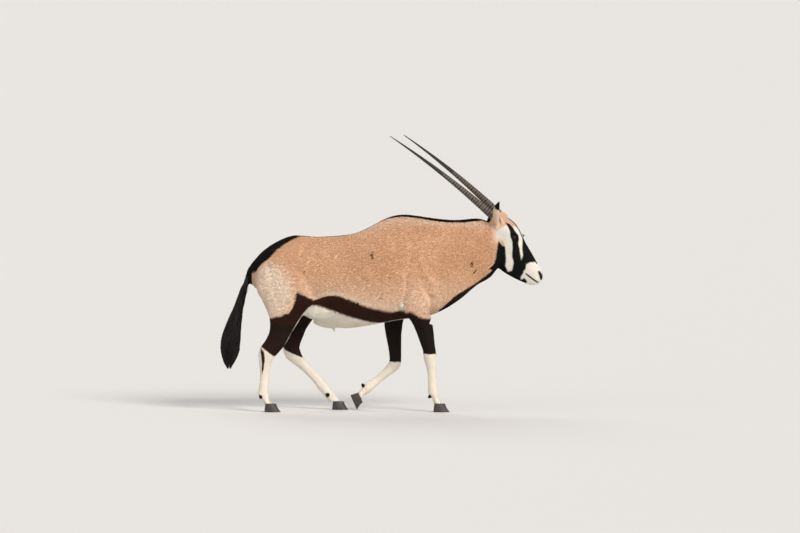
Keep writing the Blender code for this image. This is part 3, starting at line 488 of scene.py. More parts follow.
def pale_share(points, places, head, ear):
    """How far the fawn fades to pale."""
    x, _, z = points.T
    pale = np.zeros(len(points))
    for reach, outline in PALE:
        pale = np.maximum(pale, smooth(-reach, reach, inside_distance(places, outline)))
    crest = np.interp(x, [-0.20, 0.0, 0.10, 0.60], [1.10, 1.193, 1.224, 1.203])
    on_crest = smooth(0.075, 0.03, crest - z) * smooth(-0.25, 0.0, x) * (1 - head)
    low = smooth(0.90, 0.66, z) * (1 - head)
    return np.maximum.reduce([pale, 0.45 * low, 0.8 * (ear > 0), 0.35 * head, 0.42 * on_crest])


def brown_and_sheen_share(points, across, head):
    """How far the black turns dark brown: mostly a painted sheen of sunlit black hair, and on the near
    flank the old scars' own brown.
    """
    x, y, z = points.T
    # Dark brown low on the trunk and on the legs is a painted sheen of sunlit black hair
    brown_and_sheen = 0.85 * smooth(0.86, 0.74, z) * smooth(0.50, 0.57, z) * (1 - head)
    low = 0.55 * smooth(0.62, 0.42, z) * (z > 0.3)
    brown_and_sheen = np.where(x < -0.80, 0.0, np.maximum(brown_and_sheen, low))
    brown_and_sheen = np.where(across > 408, brown_and_sheen * 0.45, brown_and_sheen)
    # On the near flank the old scars keep their own brown
    scarred = (z > 0.70) & (z < 1.02) & (y < 0) & (x > -0.6) & (x < 0.66)
    return np.where(scarred, 0.85, brown_and_sheen)


def markings(points):
    """The coat's markings, with a painted shade behind the near hock: distance into dark and white,
    and shares of pale and of brown, which is mostly a painted sheen on the black.
    """
    places = drawn_places(points)
    head = head_share(points)
    ear = ear_share(points)
    dark = np.maximum(drawn_dark(points, places), dark_edges(points, places, head))
    for place in dewclaw_places():
        dark = np.maximum(dark, DEWCLAW_DARK - np.linalg.norm(points - place, axis=1))
    return {
        "dark": np.where(ear > 0, (ear - EAR_TIP_SHARE) * EAR_LENGTH, dark),
        "white": white_distance(points, places),
        "pale": pale_share(points, places, head, ear),
        "brown_and_sheen": brown_and_sheen_share(points, places[:, 0], head),
    }


def hair_lie(points):
    """Which way the hair lies at points, before it is laid along the skin."""
    x, y, z = points.T
    head = head_share(points)
    ear = ear_share(points)
    body = np.array([-0.92, 0.0, -0.40])
    neck = np.array([-0.70, 0.0, -0.70])
    leg = np.array([-0.20, 0.0, -0.98])
    face = -np.array(head_matrix().to_3x3() @ Vector((0.93, 0.0, 0.25)))
    tail = np.array([-0.35, 0.0, -0.94])
    crest = np.array([1.0, 0.0, 0.05])
    lie = np.repeat(body[None], len(points), axis=0)

    def turn_to(direction, share):
        return lie + (direction - lie) * share[:, None]

    lie = turn_to(neck, smooth(0.15, 0.45, x))
    lie = turn_to(leg, smooth(0.74, 0.58, z))
    lie = turn_to(tail, smooth(-0.74, -0.80, x))
    lie = turn_to(face, head)
    ridge = smooth(0.022, 0.008, np.abs(y)) * smooth(1.05, 1.08, z) * smooth(-0.45, -0.35, x)
    lie = turn_to(crest, ridge * (1 - head))
    for sign, reach in EAR_REACH.items():
        lie = turn_to(np.array(reach.normalized()), ((ear > 0) & (sign * y > 0)).astype(float))
    return lie


def coat_depth(points):
    """How deep the hair stands on the skin: most on the trunk, least on face and feet."""
    x, _, z = points.T
    head = head_share(points)
    depth = BODY_DEPTH - (BODY_DEPTH - FINE_DEPTH) * np.maximum(head, smooth(0.66, 0.50, z))
    return np.where(ear_share(points) > 0, 0.0006, depth)


def add_object(name, mesh):
    """A new object in the scene."""
    obj = bpy.data.objects.new(name, mesh)
    bpy.context.scene.collection.objects.link(obj)
    return obj


def from_bmesh(name, bm):
    """A new object with the shape of a bmesh."""
    mesh = bpy.data.meshes.new(name)
    bm.to_mesh(mesh)
    bm.free()
    mesh.polygons.foreach_set("use_smooth", [True] * len(mesh.polygons))
    return add_object(name, mesh)


def apply_modifiers(obj):
    """Give the object the mesh that its modifiers make."""
    graph = bpy.context.evaluated_depsgraph_get()
    mesh = bpy.data.meshes.new_from_object(obj.evaluated_get(graph))
    obj.modifiers.clear()
    obj.data = mesh


def finish_piece(obj, looks, slot_name, *replaced):
    """Dress a piece and fasten it to the frame."""
    obj.data.materials.clear()
    obj.data.materials.append(looks[slot_name])
    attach(obj, "root")
    if replaced:
        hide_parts(*replaced)


def vertex_array(mesh, name="co"):
    """Places or normals of a mesh's vertices."""
    values = np.empty(len(mesh.vertices) * 3, np.float32)
    if name == "co":
        mesh.vertices.foreach_get("co", values)
    else:
        mesh.vertex_normals.foreach_get("vector", values)
    return values.reshape(-1, 3).astype(float)


def set_attribute(mesh, name, values):
    """One number for each vertex."""
    layer = mesh.attributes.new(name, "FLOAT", "POINT")
    layer.data.foreach_set("value", np.asarray(values, np.float32))


def voxel_shape(obj, size):
    """Give an object one even, closed mesh."""
    remesh = obj.modifiers.new("Remesh", "REMESH")
    remesh.mode = "VOXEL"
    remesh.voxel_size = size


def add_softening(obj, passes, group=""):
    """Smooth an object's mesh, or the part of it that is in a vertex group."""
    softening = obj.modifiers.new("Soften", "SMOOTH")
    softening.vertex_group = group
    softening.factor = 0.5
    softening.iterations = passes


def merged_copy(name, meshes):
    """One object from meshes of loose triangles, with their corners merged."""
    bm = bmesh.new()
    for mesh in meshes:
        bm.from_mesh(mesh)
    bmesh.ops.remove_doubles(bm, verts=bm.verts, dist=1e-5)
    return from_bmesh(name, bm)


def build_skin(nodes, origin):
    """One skin over all the flesh, inside the coat, with the folds of muscle and face."""
    skin = merged_copy("skin", [nodes[name].data for name in FLESH])
    voxel_shape(skin, SKIN_VOXEL)
    apply_modifiers(skin)
    points = vertex_array(skin.data) + origin
    trunk = smooth(0.46, 0.64, points[:, 2]) * (1 - head_share(points))
    trunk = trunk * smooth(-0.86, -0.82, points[:, 0])
    not_ear = (ear_share(points) == 0) * 1.0
    for name, weights, passes in (("trunk", trunk, TRUNK_PASSES), ("all", not_ear, ALL_PASSES)):
        group = skin.vertex_groups.new(name=name)
        for level in range(1, 11):
            chosen = np.nonzero(np.round(weights * 10) == level)[0]
            group.add(chosen.tolist(), level / 10, "REPLACE")
        add_softening(skin, passes, name)
    thinning = skin.modifiers.new("Thin", "DECIMATE")
    thinning.ratio = SKIN_TRIANGLES / (2 * len(skin.data.polygons))
    apply_modifiers(skin)
    skin.vertex_groups.clear()
    shape_skin(skin.data, origin)
    return skin


def move_vertices(mesh, places):
    """Put a mesh's vertices at new places."""
    mesh.vertices.foreach_set("co", places.astype(np.float32).ravel())
    mesh.update()


def shape_skin(mesh, origin):
    """Sink the skin by the coat's depth and press in its folds."""
    local = vertex_array(mesh)
    points = local + origin
    normals = vertex_array(mesh, "normal")
    sink = coat_depth(points)
    places = drawn_places(points)
    facing = np.abs(normals[:, 1]) * (1 - head_share(points))
    for line, width, depth in FOLDS:
        gap = line_distance(places, line) * STEP
        sink += depth * np.exp(-(gap / width) ** 2) * facing
    own = head_places(points)
    own[:, 1] = np.abs(own[:, 1])
    near_head = points[:, 0] > 0.62
    for line, width, depth in FACE_FOLDS:
        gap = line_distance(own[near_head], line)
        sink[near_head] += depth * np.exp(-(gap / width) ** 2)
    move_vertices(mesh, local - normals * sink[:, None])


def crest_middle(x):
    """Sideways place of the ridge of neck and back."""
    return -0.016 * smooth(0.4, 0.7, x)


def crest_curve(skin, origin):
    """Height of the ridge of neck and back at each x, under the locks of the mane."""
    tree = BVHTree.FromPolygons([vert.co.copy() for vert in skin.data.vertices],
                                [tuple(face.vertices) for face in skin.data.polygons])
    stations = np.linspace(-0.56, 0.70, 253)
    heights = []
    for x in stations:
        above = Vector((x, float(crest_middle(x)), 1.6)) - Vector(origin)
        heights.append(tree.ray_cast(above, Vector((0, 0, -1)))[0].z)
    weights = np.ones(len(stations))
    for _ in range(10):
        curve = np.poly1d(np.polyfit(stations, heights, 12, w=weights))
        weights = np.where(heights > curve(stations) + 0.0005, 0.12, 1.0)
    return curve


def press_crest(mesh, origin, crest):
    """Press the locks on the ridge down to it, where the strands of the mane stand."""
    local = vertex_array(mesh)
    x, y, z = (local + origin).T
    off = np.abs(y - crest_middle(x))
    on_ridge = (off < 0.035) & (z > 1.0) & (x > -0.46) & (x < 0.665)
    limit = crest(x) + 0.0012 - 3.0 * off ** 2
    local[:, 2] = np.where(on_ridge, np.minimum(local[:, 2], limit), local[:, 2])
    move_vertices(mesh, local)


def unwrap_guide(skin):
    """A light copy of the skin with an unwrap of its own shape, and a tree to look it up by."""
    guide = add_object("guide", skin.data.copy())
    thinning = guide.modifiers.new("Thin", "DECIMATE")
    thinning.ratio = GUIDE_TRIANGLES / len(guide.data.polygons)
    apply_modifiers(guide)
    bpy.context.view_layer.objects.active = guide
    guide.select_set(True)
    bpy.ops.object.mode_set(mode="EDIT")
    bpy.ops.mesh.select_all(action="SELECT")
    bpy.ops.uv.smart_project(angle_limit=math.radians(66), island_margin=0.004)
    bpy.ops.object.mode_set(mode="OBJECT")
    mesh = guide.data
    mesh.calc_loop_triangles()
    layer = mesh.uv_layers.active.data
    corners = [[mesh.vertices[index].co.copy() for index in tri.vertices]
               for tri in mesh.loop_triangles]
    flat = [[layer[index].uv.to_3d() for index in tri.loops] for tri in mesh.loop_triangles]
    tree = BVHTree.FromPolygons([corner for tri in corners for corner in tri],
                                [(3 * i, 3 * i + 1, 3 * i + 2) for i in range(len(corners))])
    bpy.data.objects.remove(guide, do_unlink=True)
    return tree, corners, flat


def root_patches(roots, guide):
    """Where each root lies on the unwrap of the skin."""
    tree, corners, flat = guide
    found = np.empty((len(roots), 2))
    for index, root in enumerate(roots):
        place, _, face, _ = tree.find_nearest(Vector(root))
        found[index] = barycentric_transform(place, *corners[face], *flat[face])[:2]
    return np.clip(found, TUFT_PATCH, 1 - TUFT_PATCH)


def sample_skin(mesh, origin, number, chance):
    """Roots spread over the skin, closest together on the head, with their normals."""
    mesh.calc_loop_triangles()
    tris = np.empty(len(mesh.loop_triangles) * 3, np.int32)
    mesh.loop_triangles.foreach_get("vertices", tris)
    tris = tris.reshape(-1, 3)
    places = vertex_array(mesh)
    normals = vertex_array(mesh, "normal")
    first, second, third = (places[tris[:, corner]] for corner in range(3))
    area = 0.5 * np.linalg.norm(np.cross(second - first, third - first), axis=1)
    middle = (first + second + third) / 3 + origin
    crowding = 1.0 + 2.2 * head_share(middle) + 1.1 * smooth(0.62, 0.45, middle[:, 2])
    crowding = np.where(ear_share(middle) > 0, 3.0, crowding)
    reach = np.cumsum(area * crowding)
    draws = (np.arange(number) + chance.random(number)) / number * reach[-1]
    picked = np.searchsorted(reach, draws).clip(0, len(tris) - 1)
    one, two = chance.random(number), chance.random(number)
    swap = one + two > 1
    one[swap], two[swap] = 1 - one[swap], 1 - two[swap]
    shares = np.stack([1 - one - two, one, two], axis=1)[:, :, None]
    roots = (places[tris[picked]] * shares).sum(axis=1)
    ups = (normals[tris[picked]] * shares).sum(axis=1)
    return roots, ups / np.linalg.norm(ups, axis=1)[:, None]


def tuft_sizes(points, chance):
    """Length, width, lift and thickness of the tufts at points."""
    share = (coat_depth(points) - FINE_DEPTH) / (BODY_DEPTH - FINE_DEPTH)
    share = share.clip(0, 1)
    count = len(points)
    length = (0.0078 + 0.0125 * share) * chance.uniform(0.8, 1.25, count)
    width = (0.0012 + 0.0014 * share) * chance.uniform(0.8, 1.2, count)
    lift = (0.0007 + 0.0016 * share) * chance.uniform(0.7, 1.25, count)
    return length, width, lift, width * (0.95 - 0.48 * share)


def array_mesh(name, verts, faces, flat, values):
    """Many small shapes as one mesh, with a patch of the map and numbers for each of them."""
    mesh = bpy.data.meshes.new(name)
    mesh.vertices.add(len(verts))
    move_vertices(mesh, verts)
    mesh.loops.add(faces.size)
    mesh.loops.foreach_set("vertex_index", faces.astype(np.int32).ravel())
    mesh.polygons.add(len(faces))
    starts = np.arange(0, faces.size, faces.shape[1], dtype=np.int32)
    mesh.polygons.foreach_set("loop_start", starts)
    mesh.polygons.foreach_set("use_smooth", np.ones(len(faces), bool))
    mesh.update(calc_edges=True)
    layer = mesh.uv_layers.new(name="OFBake")
    flat = flat.reshape(-1, 2)[faces.ravel()]
    layer.data.foreach_set("uv", flat.astype(np.float32).ravel())
    for label, numbers in values.items():
        set_attribute(mesh, label, np.repeat(numbers, len(verts) // len(numbers)))
    return mesh


def tuft_mesh(name, roots, ups, lies, sizes, patches, values):
    """Many thin, bent, three-sided tufts as one mesh."""
    length, width, lift, peak = (size[:, None] for size in sizes)
    side = np.cross(lies, ups) * width
    mid = roots + lies * length * 0.5 + ups * lift
    tip = roots + lies * length + ups * lift * 0.75
    root = roots - ups * 0.0012
    rings = [root + side * 0.5, root - side * 0.5, root + ups * peak,
             mid + side * 0.42, mid - side * 0.42, mid + ups * peak * 0.55, tip]
    verts = np.stack(rings, axis=1).reshape(-1, 3)
    pattern = np.array([(0, 2, 1), (0, 1, 4), (0, 4, 3), (1, 2, 5), (1, 5, 4), (2, 0, 3),
                        (2, 3, 5), (3, 4, 6), (4, 5, 6), (5, 3, 6)])
    faces = (pattern[None] + 7 * np.arange(len(roots))[:, None, None]).reshape(-1, 3)
    spots = np.array([(-0.5, -0.5), (0.5, -0.5), (0.0, -0.5), (-0.4, 0.0), (0.4, 0.0),
                      (0.0, 0.0), (0.0, 0.5)]) * TUFT_PATCH
    return array_mesh(name, verts, faces, patches[:, None] + spots[None], values)


def coat_regions(points):
    """Which roots belong to each region of the coat, and its look."""
    head = head_share(points) > 0.4
    ear = ear_share(points) > 0
    leg = (points[:, 2] < 0.56) & (points[:, 0] > -0.80)
    trunk = ~head & ~ear & ~leg
    rear = points[:, 0] < -0.25
    return {
        "coat_ears": (ear, "ear_coat"),
        "coat_head": (head & ~ear, "head_coat"),
        "coat_legs": (leg & ~head & ~ear, "leg_coat"),
        "coat_rear": (trunk & rear, "fawn_coat"),
        "coat_front": (trunk & ~rear, "fawn_coat"),
    }


def build_coat(skin, guide, origin, looks):
    """The short coat: tufts that follow the lie of the hair over the whole skin."""
    chance = np.random.default_rng(SEED)
    roots, ups = sample_skin(skin.data, origin, TUFTS, chance)
    bare = np.zeros(len(roots), bool)
    for place in dewclaw_places():
        bare |= np.linalg.norm(roots + origin - place, axis=1) < DEWCLAW_BARE
    roots, ups = roots[~bare], ups[~bare]
    points = roots + origin
    lies = hair_lie(points) + chance.normal(0, 0.08, (len(points), 3))
    lies -= ups * (lies * ups).sum(axis=1)[:, None]
    lies /= np.linalg.norm(lies, axis=1)[:, None] + 1e-9
    sizes = tuft_sizes(points, chance)
    values = markings(points)
    values["shade"] = chance.normal(0, 1, len(points)).clip(-2, 2)
    patches = root_patches(roots, guide)
    for region, (chosen, look) in coat_regions(points).items():
        indices = np.nonzero(chosen)[0]
        indices = indices[np.argsort(points[indices, 0])]
        pieces = max(1, math.ceil(len(indices) / TUFTS_PER_PIECE))
        for number, part in enumerate(np.array_split(indices, pieces), 1):
            name = f"{region}_{number}"
            part_values = {label: numbers[part] for label, numbers in values.items()}
            mesh = tuft_mesh(name, roots[part], ups[part], lies[part],
                             [size[part] for size in sizes], patches[part], part_values)
            finish_piece(add_object(name, mesh), looks, look)


def build_strands(name, paths, widths, thickness, guide, looks, *replaced):
    """Tapered four-sided black strands along paths; paths is (count, steps, 3)."""
    count, steps, _ = paths.shape
    ahead = np.gradient(paths, axis=1)
    ahead /= np.linalg.norm(ahead, axis=2)[:, :, None] + 1e-9
    side = np.cross(ahead, np.array([0.13, 0.97, 0.2]))
    side /= np.linalg.norm(side, axis=2)[:, :, None] + 1e-9
    share = np.linspace(0, 1, steps)
    taper = (0.55 + 0.9 * share) * (1 - share ** 3)
    half = (widths[:, None] * taper[None] * 0.5 + 0.00015)[:, :, None]
    wide = side * half
    thick = np.cross(ahead, side) * half * thickness
    verts = np.stack([paths + wide, paths + thick, paths - wide, paths - thick], axis=2)
    last = (steps - 1) * 4
    faces = [(3, 2, 1, 0), (last, last + 1, last + 2, last + 3)]
    for low in range(0, last, 4):
        for corner in range(4):
            after = (corner + 1) % 4
            faces.append((low + corner, low + after, low + 4 + after, low + 4 + corner))
    faces = (np.array(faces)[None] + steps * 4 * np.arange(count)[:, None, None]).reshape(-1, 4)
    across = np.tile([-0.3, -0.1, 0.1, 0.3], steps) * TUFT_PATCH
    along = np.repeat(share - 0.5, 4) * TUFT_PATCH
    spots = np.stack([across, along], axis=1)
    flat = root_patches(paths[:, 0], guide)[:, None] + spots[None]
    shade = np.random.default_rng(SEED).normal(0, 1, count).clip(-2, 2)
    mesh = array_mesh(name, verts.reshape(-1, 3), faces, flat, {"shade": shade})
    finish_piece(add_object(name, mesh), looks, "black_hair", *replaced)


def build_tail_hair(guide, origin, looks):
    """The long hair of the tail, in many thin strands."""
    chance = np.random.default_rng(SEED + 1)
    start = 0.835 - 0.42 * chance.random(TAIL_STRANDS)
    length = chance.uniform(0.20, 0.32, TAIL_STRANDS)
    end = np.maximum(start - length, 0.262 + 0.10 * chance.random(TAIL_STRANDS) ** 2)
    turn = chance.uniform(0, 2 * math.pi, TAIL_STRANDS)[:, None]
    out = np.sqrt(chance.uniform(0.30, 1.0, TAIL_STRANDS))[:, None]
    share = np.linspace(0, 1, 9)[None]
    z = start[:, None] + (end - start)[:, None] * share
    x, depth, half = (look_up(TAIL_HAIR[::-1], z, column) for column in (1, 2, 3))
    grow = np.minimum(1.0, 0.35 + 2.2 * share) * out
    angle = turn + chance.normal(0, 0.22, TAIL_STRANDS)[:, None] * share
    wave = 0.0022 * np.sin(share * 5 + turn * 3)
    paths = np.stack([x + np.cos(angle) * depth * grow + wave,
                      np.sin(angle) * half * grow + wave[:, ::-1], z], axis=2) - origin
    widths = chance.uniform(0.0022, 0.0050, TAIL_STRANDS)
    build_strands("tail_hair", paths, widths, 0.55, guide, looks, "tail_tuft")


def build_tail_core(origin, looks):
    """The dense middle of the tail's hair."""
    rings = []
    for z, x, depth, half in TAIL_HAIR[:-1]:
        middle = Vector((x, 0.0, z)) - Vector(origin)
        rings.append((middle, Vector((depth * 0.72, 0.0, 0.0)), Vector((0.0, half * 0.72, 0.0))))
    core = sweep("tail_core", rings, 16)
    set_attribute(core.data, "shade", np.zeros(len(core.data.vertices)))
    finish_piece(core, looks, "black_hair")


def build_mane(crest, guide, origin, looks):
    """The black hair along the crest of neck, withers and back, lying forward."""
    chance = np.random.default_rng(SEED + 2)
    x = np.concatenate([chance.uniform(-0.52, 0.02, BACK_STRANDS),
                        chance.uniform(-0.04, 0.665, NECK_STRANDS)])
    count = len(x)
    size = np.interp(x, [-0.52, -0.10, 0.05, 0.35, 0.62, 0.67], [0.42, 0.42, 0.75, 1.0, 0.9, 0.5])
    length = (chance.uniform(0.024, 0.040, count) * size)[:, None]
    rise = (chance.uniform(0.0065, 0.0105, count) * size)[:, None]
    lean = chance.normal(0, 0.10, count)[:, None]
    y = (chance.normal(0, 1, count) * 0.0045 + crest_middle(x))[:, None]
    share = np.linspace(0, 1, 5)[None]
    ahead = x[:, None] + length * share
    up = crest(ahead) + rise * np.sin(2.2 * share) - 0.001
    paths = np.stack([ahead - origin[0], y + length * lean * share - origin[1], up], axis=2)
    widths = chance.uniform(0.0016, 0.0030, count)
    build_strands("mane", paths, widths, 0.6, guide, looks)


def sweep(name, rings, corners):
    """A tube through rings of (middle, one radius axis, the other), closed at both ends."""
    bm = bmesh.new()
    made = bmesh.ops.create_circle(bm, radius=1.0, segments=corners)
    unit = {vert: vert.co.copy() for vert in made["verts"]}
    edges = start_edges = list(bm.edges)
    for step, (middle, one, other) in enumerate(rings):
        if step:
            made = bmesh.ops.extrude_edge_only(bm, edges=edges)["geom"]
            edges = [item for item in made if isinstance(item, bmesh.types.BMEdge)]
            fresh = [item for item in made if isinstance(item, bmesh.types.BMVert)]
            below = [(vert, edge.other_vert(vert)) for vert in fresh for edge in vert.link_edges]
            unit = {vert: unit[end] for vert, end in below if end in unit}
        for vert, place in unit.items():
            vert.co = middle + one * place.x + other * place.y
    bmesh.ops.edgeloop_fill(bm, edges=start_edges)
    bmesh.ops.edgeloop_fill(bm, edges=edges)
    bmesh.ops.recalc_face_normals(bm, faces=bm.faces)
    return from_bmesh(name, bm)


def build_horn(side, sign, origin, looks):
    """A long, nearly straight horn with raised rings on its lower half and a smooth tip."""
    base, tip = HORN_ENDS[sign]
    upward = (tip - base).normalized()
    front = Vector((0.6, 0.0, 0.8))
    front = (front - upward * front.dot(upward)).normalized()
    across = upward.cross(front)
    length = (tip - base).length
    chance = random.Random(SEED + sign)
    tops = [chance.uniform(-0.12, 0.12) for _ in range(HORN_RINGS)]
    ringed = HORN_RINGS * STEPS_PER_RING
    shares = [index / ringed * HORN_RINGED for index in range(ringed)]
    shares += np.linspace(HORN_RINGED, 1, HORN_TIP_STEPS).tolist()
    rings = []
    ridges = []
    for index, share in enumerate(shares):
        radius = HORN_BASE_RADIUS + (HORN_TIP_RADIUS - HORN_BASE_RADIUS) * share ** 1.05
        height = 0.0
        if index < ringed:
            fade = (1 - share / HORN_RINGED) ** 0.5
            phase = index % STEPS_PER_RING / STEPS_PER_RING + tops[index // STEPS_PER_RING]
            height = 1 - min(1.0, abs(2 * phase - 1))
            radius += HORN_RING_HEIGHT * fade * (height - 0.5)
        ridges.append(height)
        bow = HORN_SAG * 4 * share * (1 - share)
        rise = 0.0003 + share * (length - 0.0003)
        middle = base + front * bow + upward * rise - Vector(origin)
        rings.append((middle, front * radius, across * radius * 0.93))
    horn = sweep("horn_shell_" + side, rings, HORN_CORNERS)
    places = vertex_array(horn.data) + origin - np.array(base)
    set_attribute(horn.data, "along", (places @ np.array(upward)) / length)
    # The ring heights, from which the horn's colour paints highlights on the crests and shade in the
    # grooves
    set_attribute(horn.data, "ridge", np.repeat(ridges, HORN_CORNERS))
    finish_piece(horn, looks, "horn", "horn_" + side)


def build_eye(side, sign, origin, looks):
    """A dark, wet eye with a level pupil."""
    bm = bmesh.new()
    bmesh.ops.create_uvsphere(bm, u_segments=48, v_segments=32, radius=EYE_RADIUS - 0.0003)
    eye = from_bmesh("eyeball_" + side, bm)
    middle, *directions = eye_frame(sign)
    places = vertex_array(eye.data)
    for name, direction in zip(("gaze", "level", "upright"), directions):
        set_attribute(eye.data, name, places @ np.array(direction) / EYE_RADIUS)
    eye.data.transform(Matrix.Translation(middle - Vector(origin)))
    finish_piece(eye, looks, "eye", "eye_" + side)


def build_lashes(side, sign, guide, origin, looks):
    """Short dark lashes along the upper lid."""
    chance = np.random.default_rng(SEED + 5 + sign)
    middle, gaze, level, upright = (np.array(vector) for vector in eye_frame(sign))
    turn = np.radians(chance.uniform(15, 165, LASHES))[:, None]
    start = middle - origin + level * np.cos(turn) * 0.0150
    start = start + upright * (0.0035 + np.sin(turn) * 0.0105) + gaze * 0.0130
    length = chance.uniform(0.007, 0.011, LASHES)[:, None]
    out = gaze * 0.85 + level * np.cos(turn) * 0.45 + upright * 0.25
    paths = [start + out * length * share + upright * length * (0.30 * share ** 2 - 0.25 * share)
             for share in np.linspace(0, 1, 5)]
    widths = np.full(LASHES, 0.0006)
    build_strands("lashes_" + side, np.stack(paths, axis=1), widths, 0.8, guide, looks)


def build_claws(nodes, looks):
    """The eight claws with rounded edges and fine walls."""
    for name in [name for name in nodes if name.startswith("hoof")]:
        claw = merged_copy("claw" + name[4:], [nodes[name].data])
        voxel_shape(claw, CLAW_VOXEL)
        add_softening(claw, 6)
        apply_modifiers(claw)
        claw.data.polygons.foreach_set("use_smooth", [True] * len(claw.data.polygons))
        finish_piece(claw, looks, "hoof", name)


class Wiring:
    """Places nodes in a node tree and joins them."""

    def __init__(self, tree):
        self.tree = tree

    def add(self, kind, settings=None, inputs=None, output=0):
        """A node with its settings and inputs; gives one of its outputs."""
        node = self.tree.nodes.new("ShaderNode" + kind)
        for name, value in (settings or {}).items():
            setattr(node, name, value)
        for key, value in (inputs or {}).items():
            if isinstance(value, bpy.types.NodeSocket):
                self.tree.links.new(value, node.inputs[key])
            else:
                node.inputs[key].default_value = value
        return node.outputs[output]

    def blend(self, share, first, second, mode="MIX"):
        """Mix two colours."""
        return self.add("Mix", {"data_type": "RGBA", "blend_type": mode},
                        {0: share, 6: first, 7: second}, output=2)

    def maths(self, operation, *values):
        """A sum, product and so on."""
        return self.add("Math", {"operation": operation}, dict(enumerate(values)))

    def edge(self, value, low, high, to_low=0.0, to_high=1.0):
        """A smooth step between two values."""
        return self.add("MapRange", {"interpolation_type": "SMOOTHSTEP"},
                        {0: value, 1: low, 2: high, 3: to_low, 4: to_high})

    def attribute(self, name):
        """A number stored on the mesh."""
        return self.add("Attribute", {"attribute_name": name}, output=2)

    def noise(self, scale, detail=3.0, turn=(0.0, 0.0, 0.0), size=(1.0, 1.0, 1.0)):
        """Noise on the object's own places, turned and stretched where asked."""
        place = self.add("TexCoord", output=3)
        place = self.add("Mapping", None, {0: place, 2: turn, 3: size})
        return self.add("TexNoise", None, {"Vector": place, "Scale": scale, "Detail": detail})

    def finish(self, colour, height, strength, distance):
        """Give the shader its colour and its bump."""
        shader = self.tree.nodes["Principled BSDF"]
        bump = self.add("Bump", None, {"Strength": strength, "Distance": distance, "Height": height})
        self.tree.links.new(colour, shader.inputs["Base Color"])
        self.tree.links.new(bump, shader.inputs["Normal"])

    def roughen(self, value):
        """Give the shader a roughness that changes over the surface."""
        shader = self.tree.nodes["Principled BSDF"]
        self.tree.links.new(value, shader.inputs["Roughness"])


def hair_grain_group():
    """A group that gives the fine grain of short hair: a tone and a height."""
    group = bpy.data.node_groups.new("hair_grain", "ShaderNodeTree")
    group.interface.new_socket("Fineness", in_out="INPUT", socket_type="NodeSocketFloat")
    group.interface.new_socket("Tone", in_out="OUTPUT", socket_type="NodeSocketFloat")
    group.interface.new_socket("Height", in_out="OUTPUT", socket_type="NodeSocketFloat")
    wiring = Wiring(group)
    given = group.nodes.new("NodeGroupInput")
    result = group.nodes.new("NodeGroupOutput")
    fine = wiring.noise(given.outputs[0], 4.0, (0.0, math.radians(-24), 0.0), (0.28, 1.0, 1.0))
    broad = wiring.maths("MULTIPLY", wiring.noise(14.0, 4.0), 0.4)
    tone = wiring.maths("MULTIPLY_ADD", fine, 0.6, broad)
    group.links.new(tone, result.inputs["Tone"])
    group.links.new(fine, result.inputs["Height"])
    return group


def new_material(name, settings):
    """A material with its wiring, and the settings that are the same all over it."""
    material = bpy.data.materials.new(name)
    material.use_nodes = True
    wiring = Wiring(material.node_tree)
    for label, value in settings.items():
        material.node_tree.nodes["Principled BSDF"].inputs[label].default_value = value
    return material, wiring


def grain(wiring, group, fineness):
    """The hair grain's tone and height in a material."""
    node = wiring.tree.nodes.new("ShaderNodeGroup")
    node.node_tree = group
    node.inputs[0].default_value = fineness
    return node.outputs["Tone"], node.outputs["Height"]


def coat_material(name, group, fineness, edge_noise, white_low, white_high):
    """Short hair in the coat's markings."""
    material, wiring = new_material(name, {"Specular IOR Level": 0.18})
    tone, height = grain(wiring, group, fineness)
    streak = wiring.edge(tone, 0.30, 0.70)
    wander = wiring.maths("SUBTRACT", wiring.noise(230.0), 0.5)
    wander = wiring.maths("MULTIPLY", wander, edge_noise)
    patchy = wiring.edge(wiring.noise(3.2, 4.0), 0.35, 0.65)
    fawn = wiring.blend(patchy, linear(214, 165, 127), linear(227, 180, 142))
    fawn = wiring.blend(streak, wiring.blend(0.12, fawn, linear(160, 112, 82)), fawn)
    colour = wiring.blend(wiring.attribute("pale"), fawn, linear(240, 218, 196))
    white_tone = wiring.blend(streak, linear(*white_low), linear(*white_high))
    white = wiring.edge(wiring.maths("ADD", wiring.attribute("white"), wander), -0.0035, 0.0035)
    colour = wiring.blend(white, colour, white_tone)
    # The black turns to dark brown by the brown share: mostly a painted sheen of lit black hair, and
    # the scars' own brown
    dark_tone = wiring.blend(wiring.attribute("brown_and_sheen"), linear(8, 7, 7), linear(50, 22, 7))
    dark = wiring.edge(wiring.maths("ADD", wiring.attribute("dark"), wander), -0.0028, 0.0028)
    colour = wiring.blend(dark, colour, dark_tone)
    # The shade number darkens or lightens the colour: a random tone from tuft to tuft, and on the bare
    # skin a painted shade between the tufts
    light = wiring.maths("MULTIPLY_ADD", wiring.attribute("shade"), 0.035, 1.0)
    light = wiring.add("CombineColor", None, {0: light, 1: light, 2: light})
    colour = wiring.blend(1.0, colour, light, "MULTIPLY")
    wiring.finish(colour, height, 0.35, 0.0012)
    wiring.roughen(wiring.edge(tone, 0.2, 0.8, 0.62, 0.78))
    return material


def black_hair_material(group):
    """Long black hair with brown lights in it."""
    material, wiring = new_material("black_hair", {"Roughness": 0.50, "Specular IOR Level": 0.30})
    tone, height = grain(wiring, group, 900.0)
    light = wiring.edge(wiring.attribute("shade"), -2.0, 2.0)
    colour = wiring.blend(light, linear(6, 5, 6), linear(26, 19, 16))
    colour = wiring.blend(wiring.edge(tone, 0.4, 0.8, 0.0, 0.5), colour, linear(14, 11, 10))
    wiring.finish(colour, height, 0.3, 0.0008)
    return material


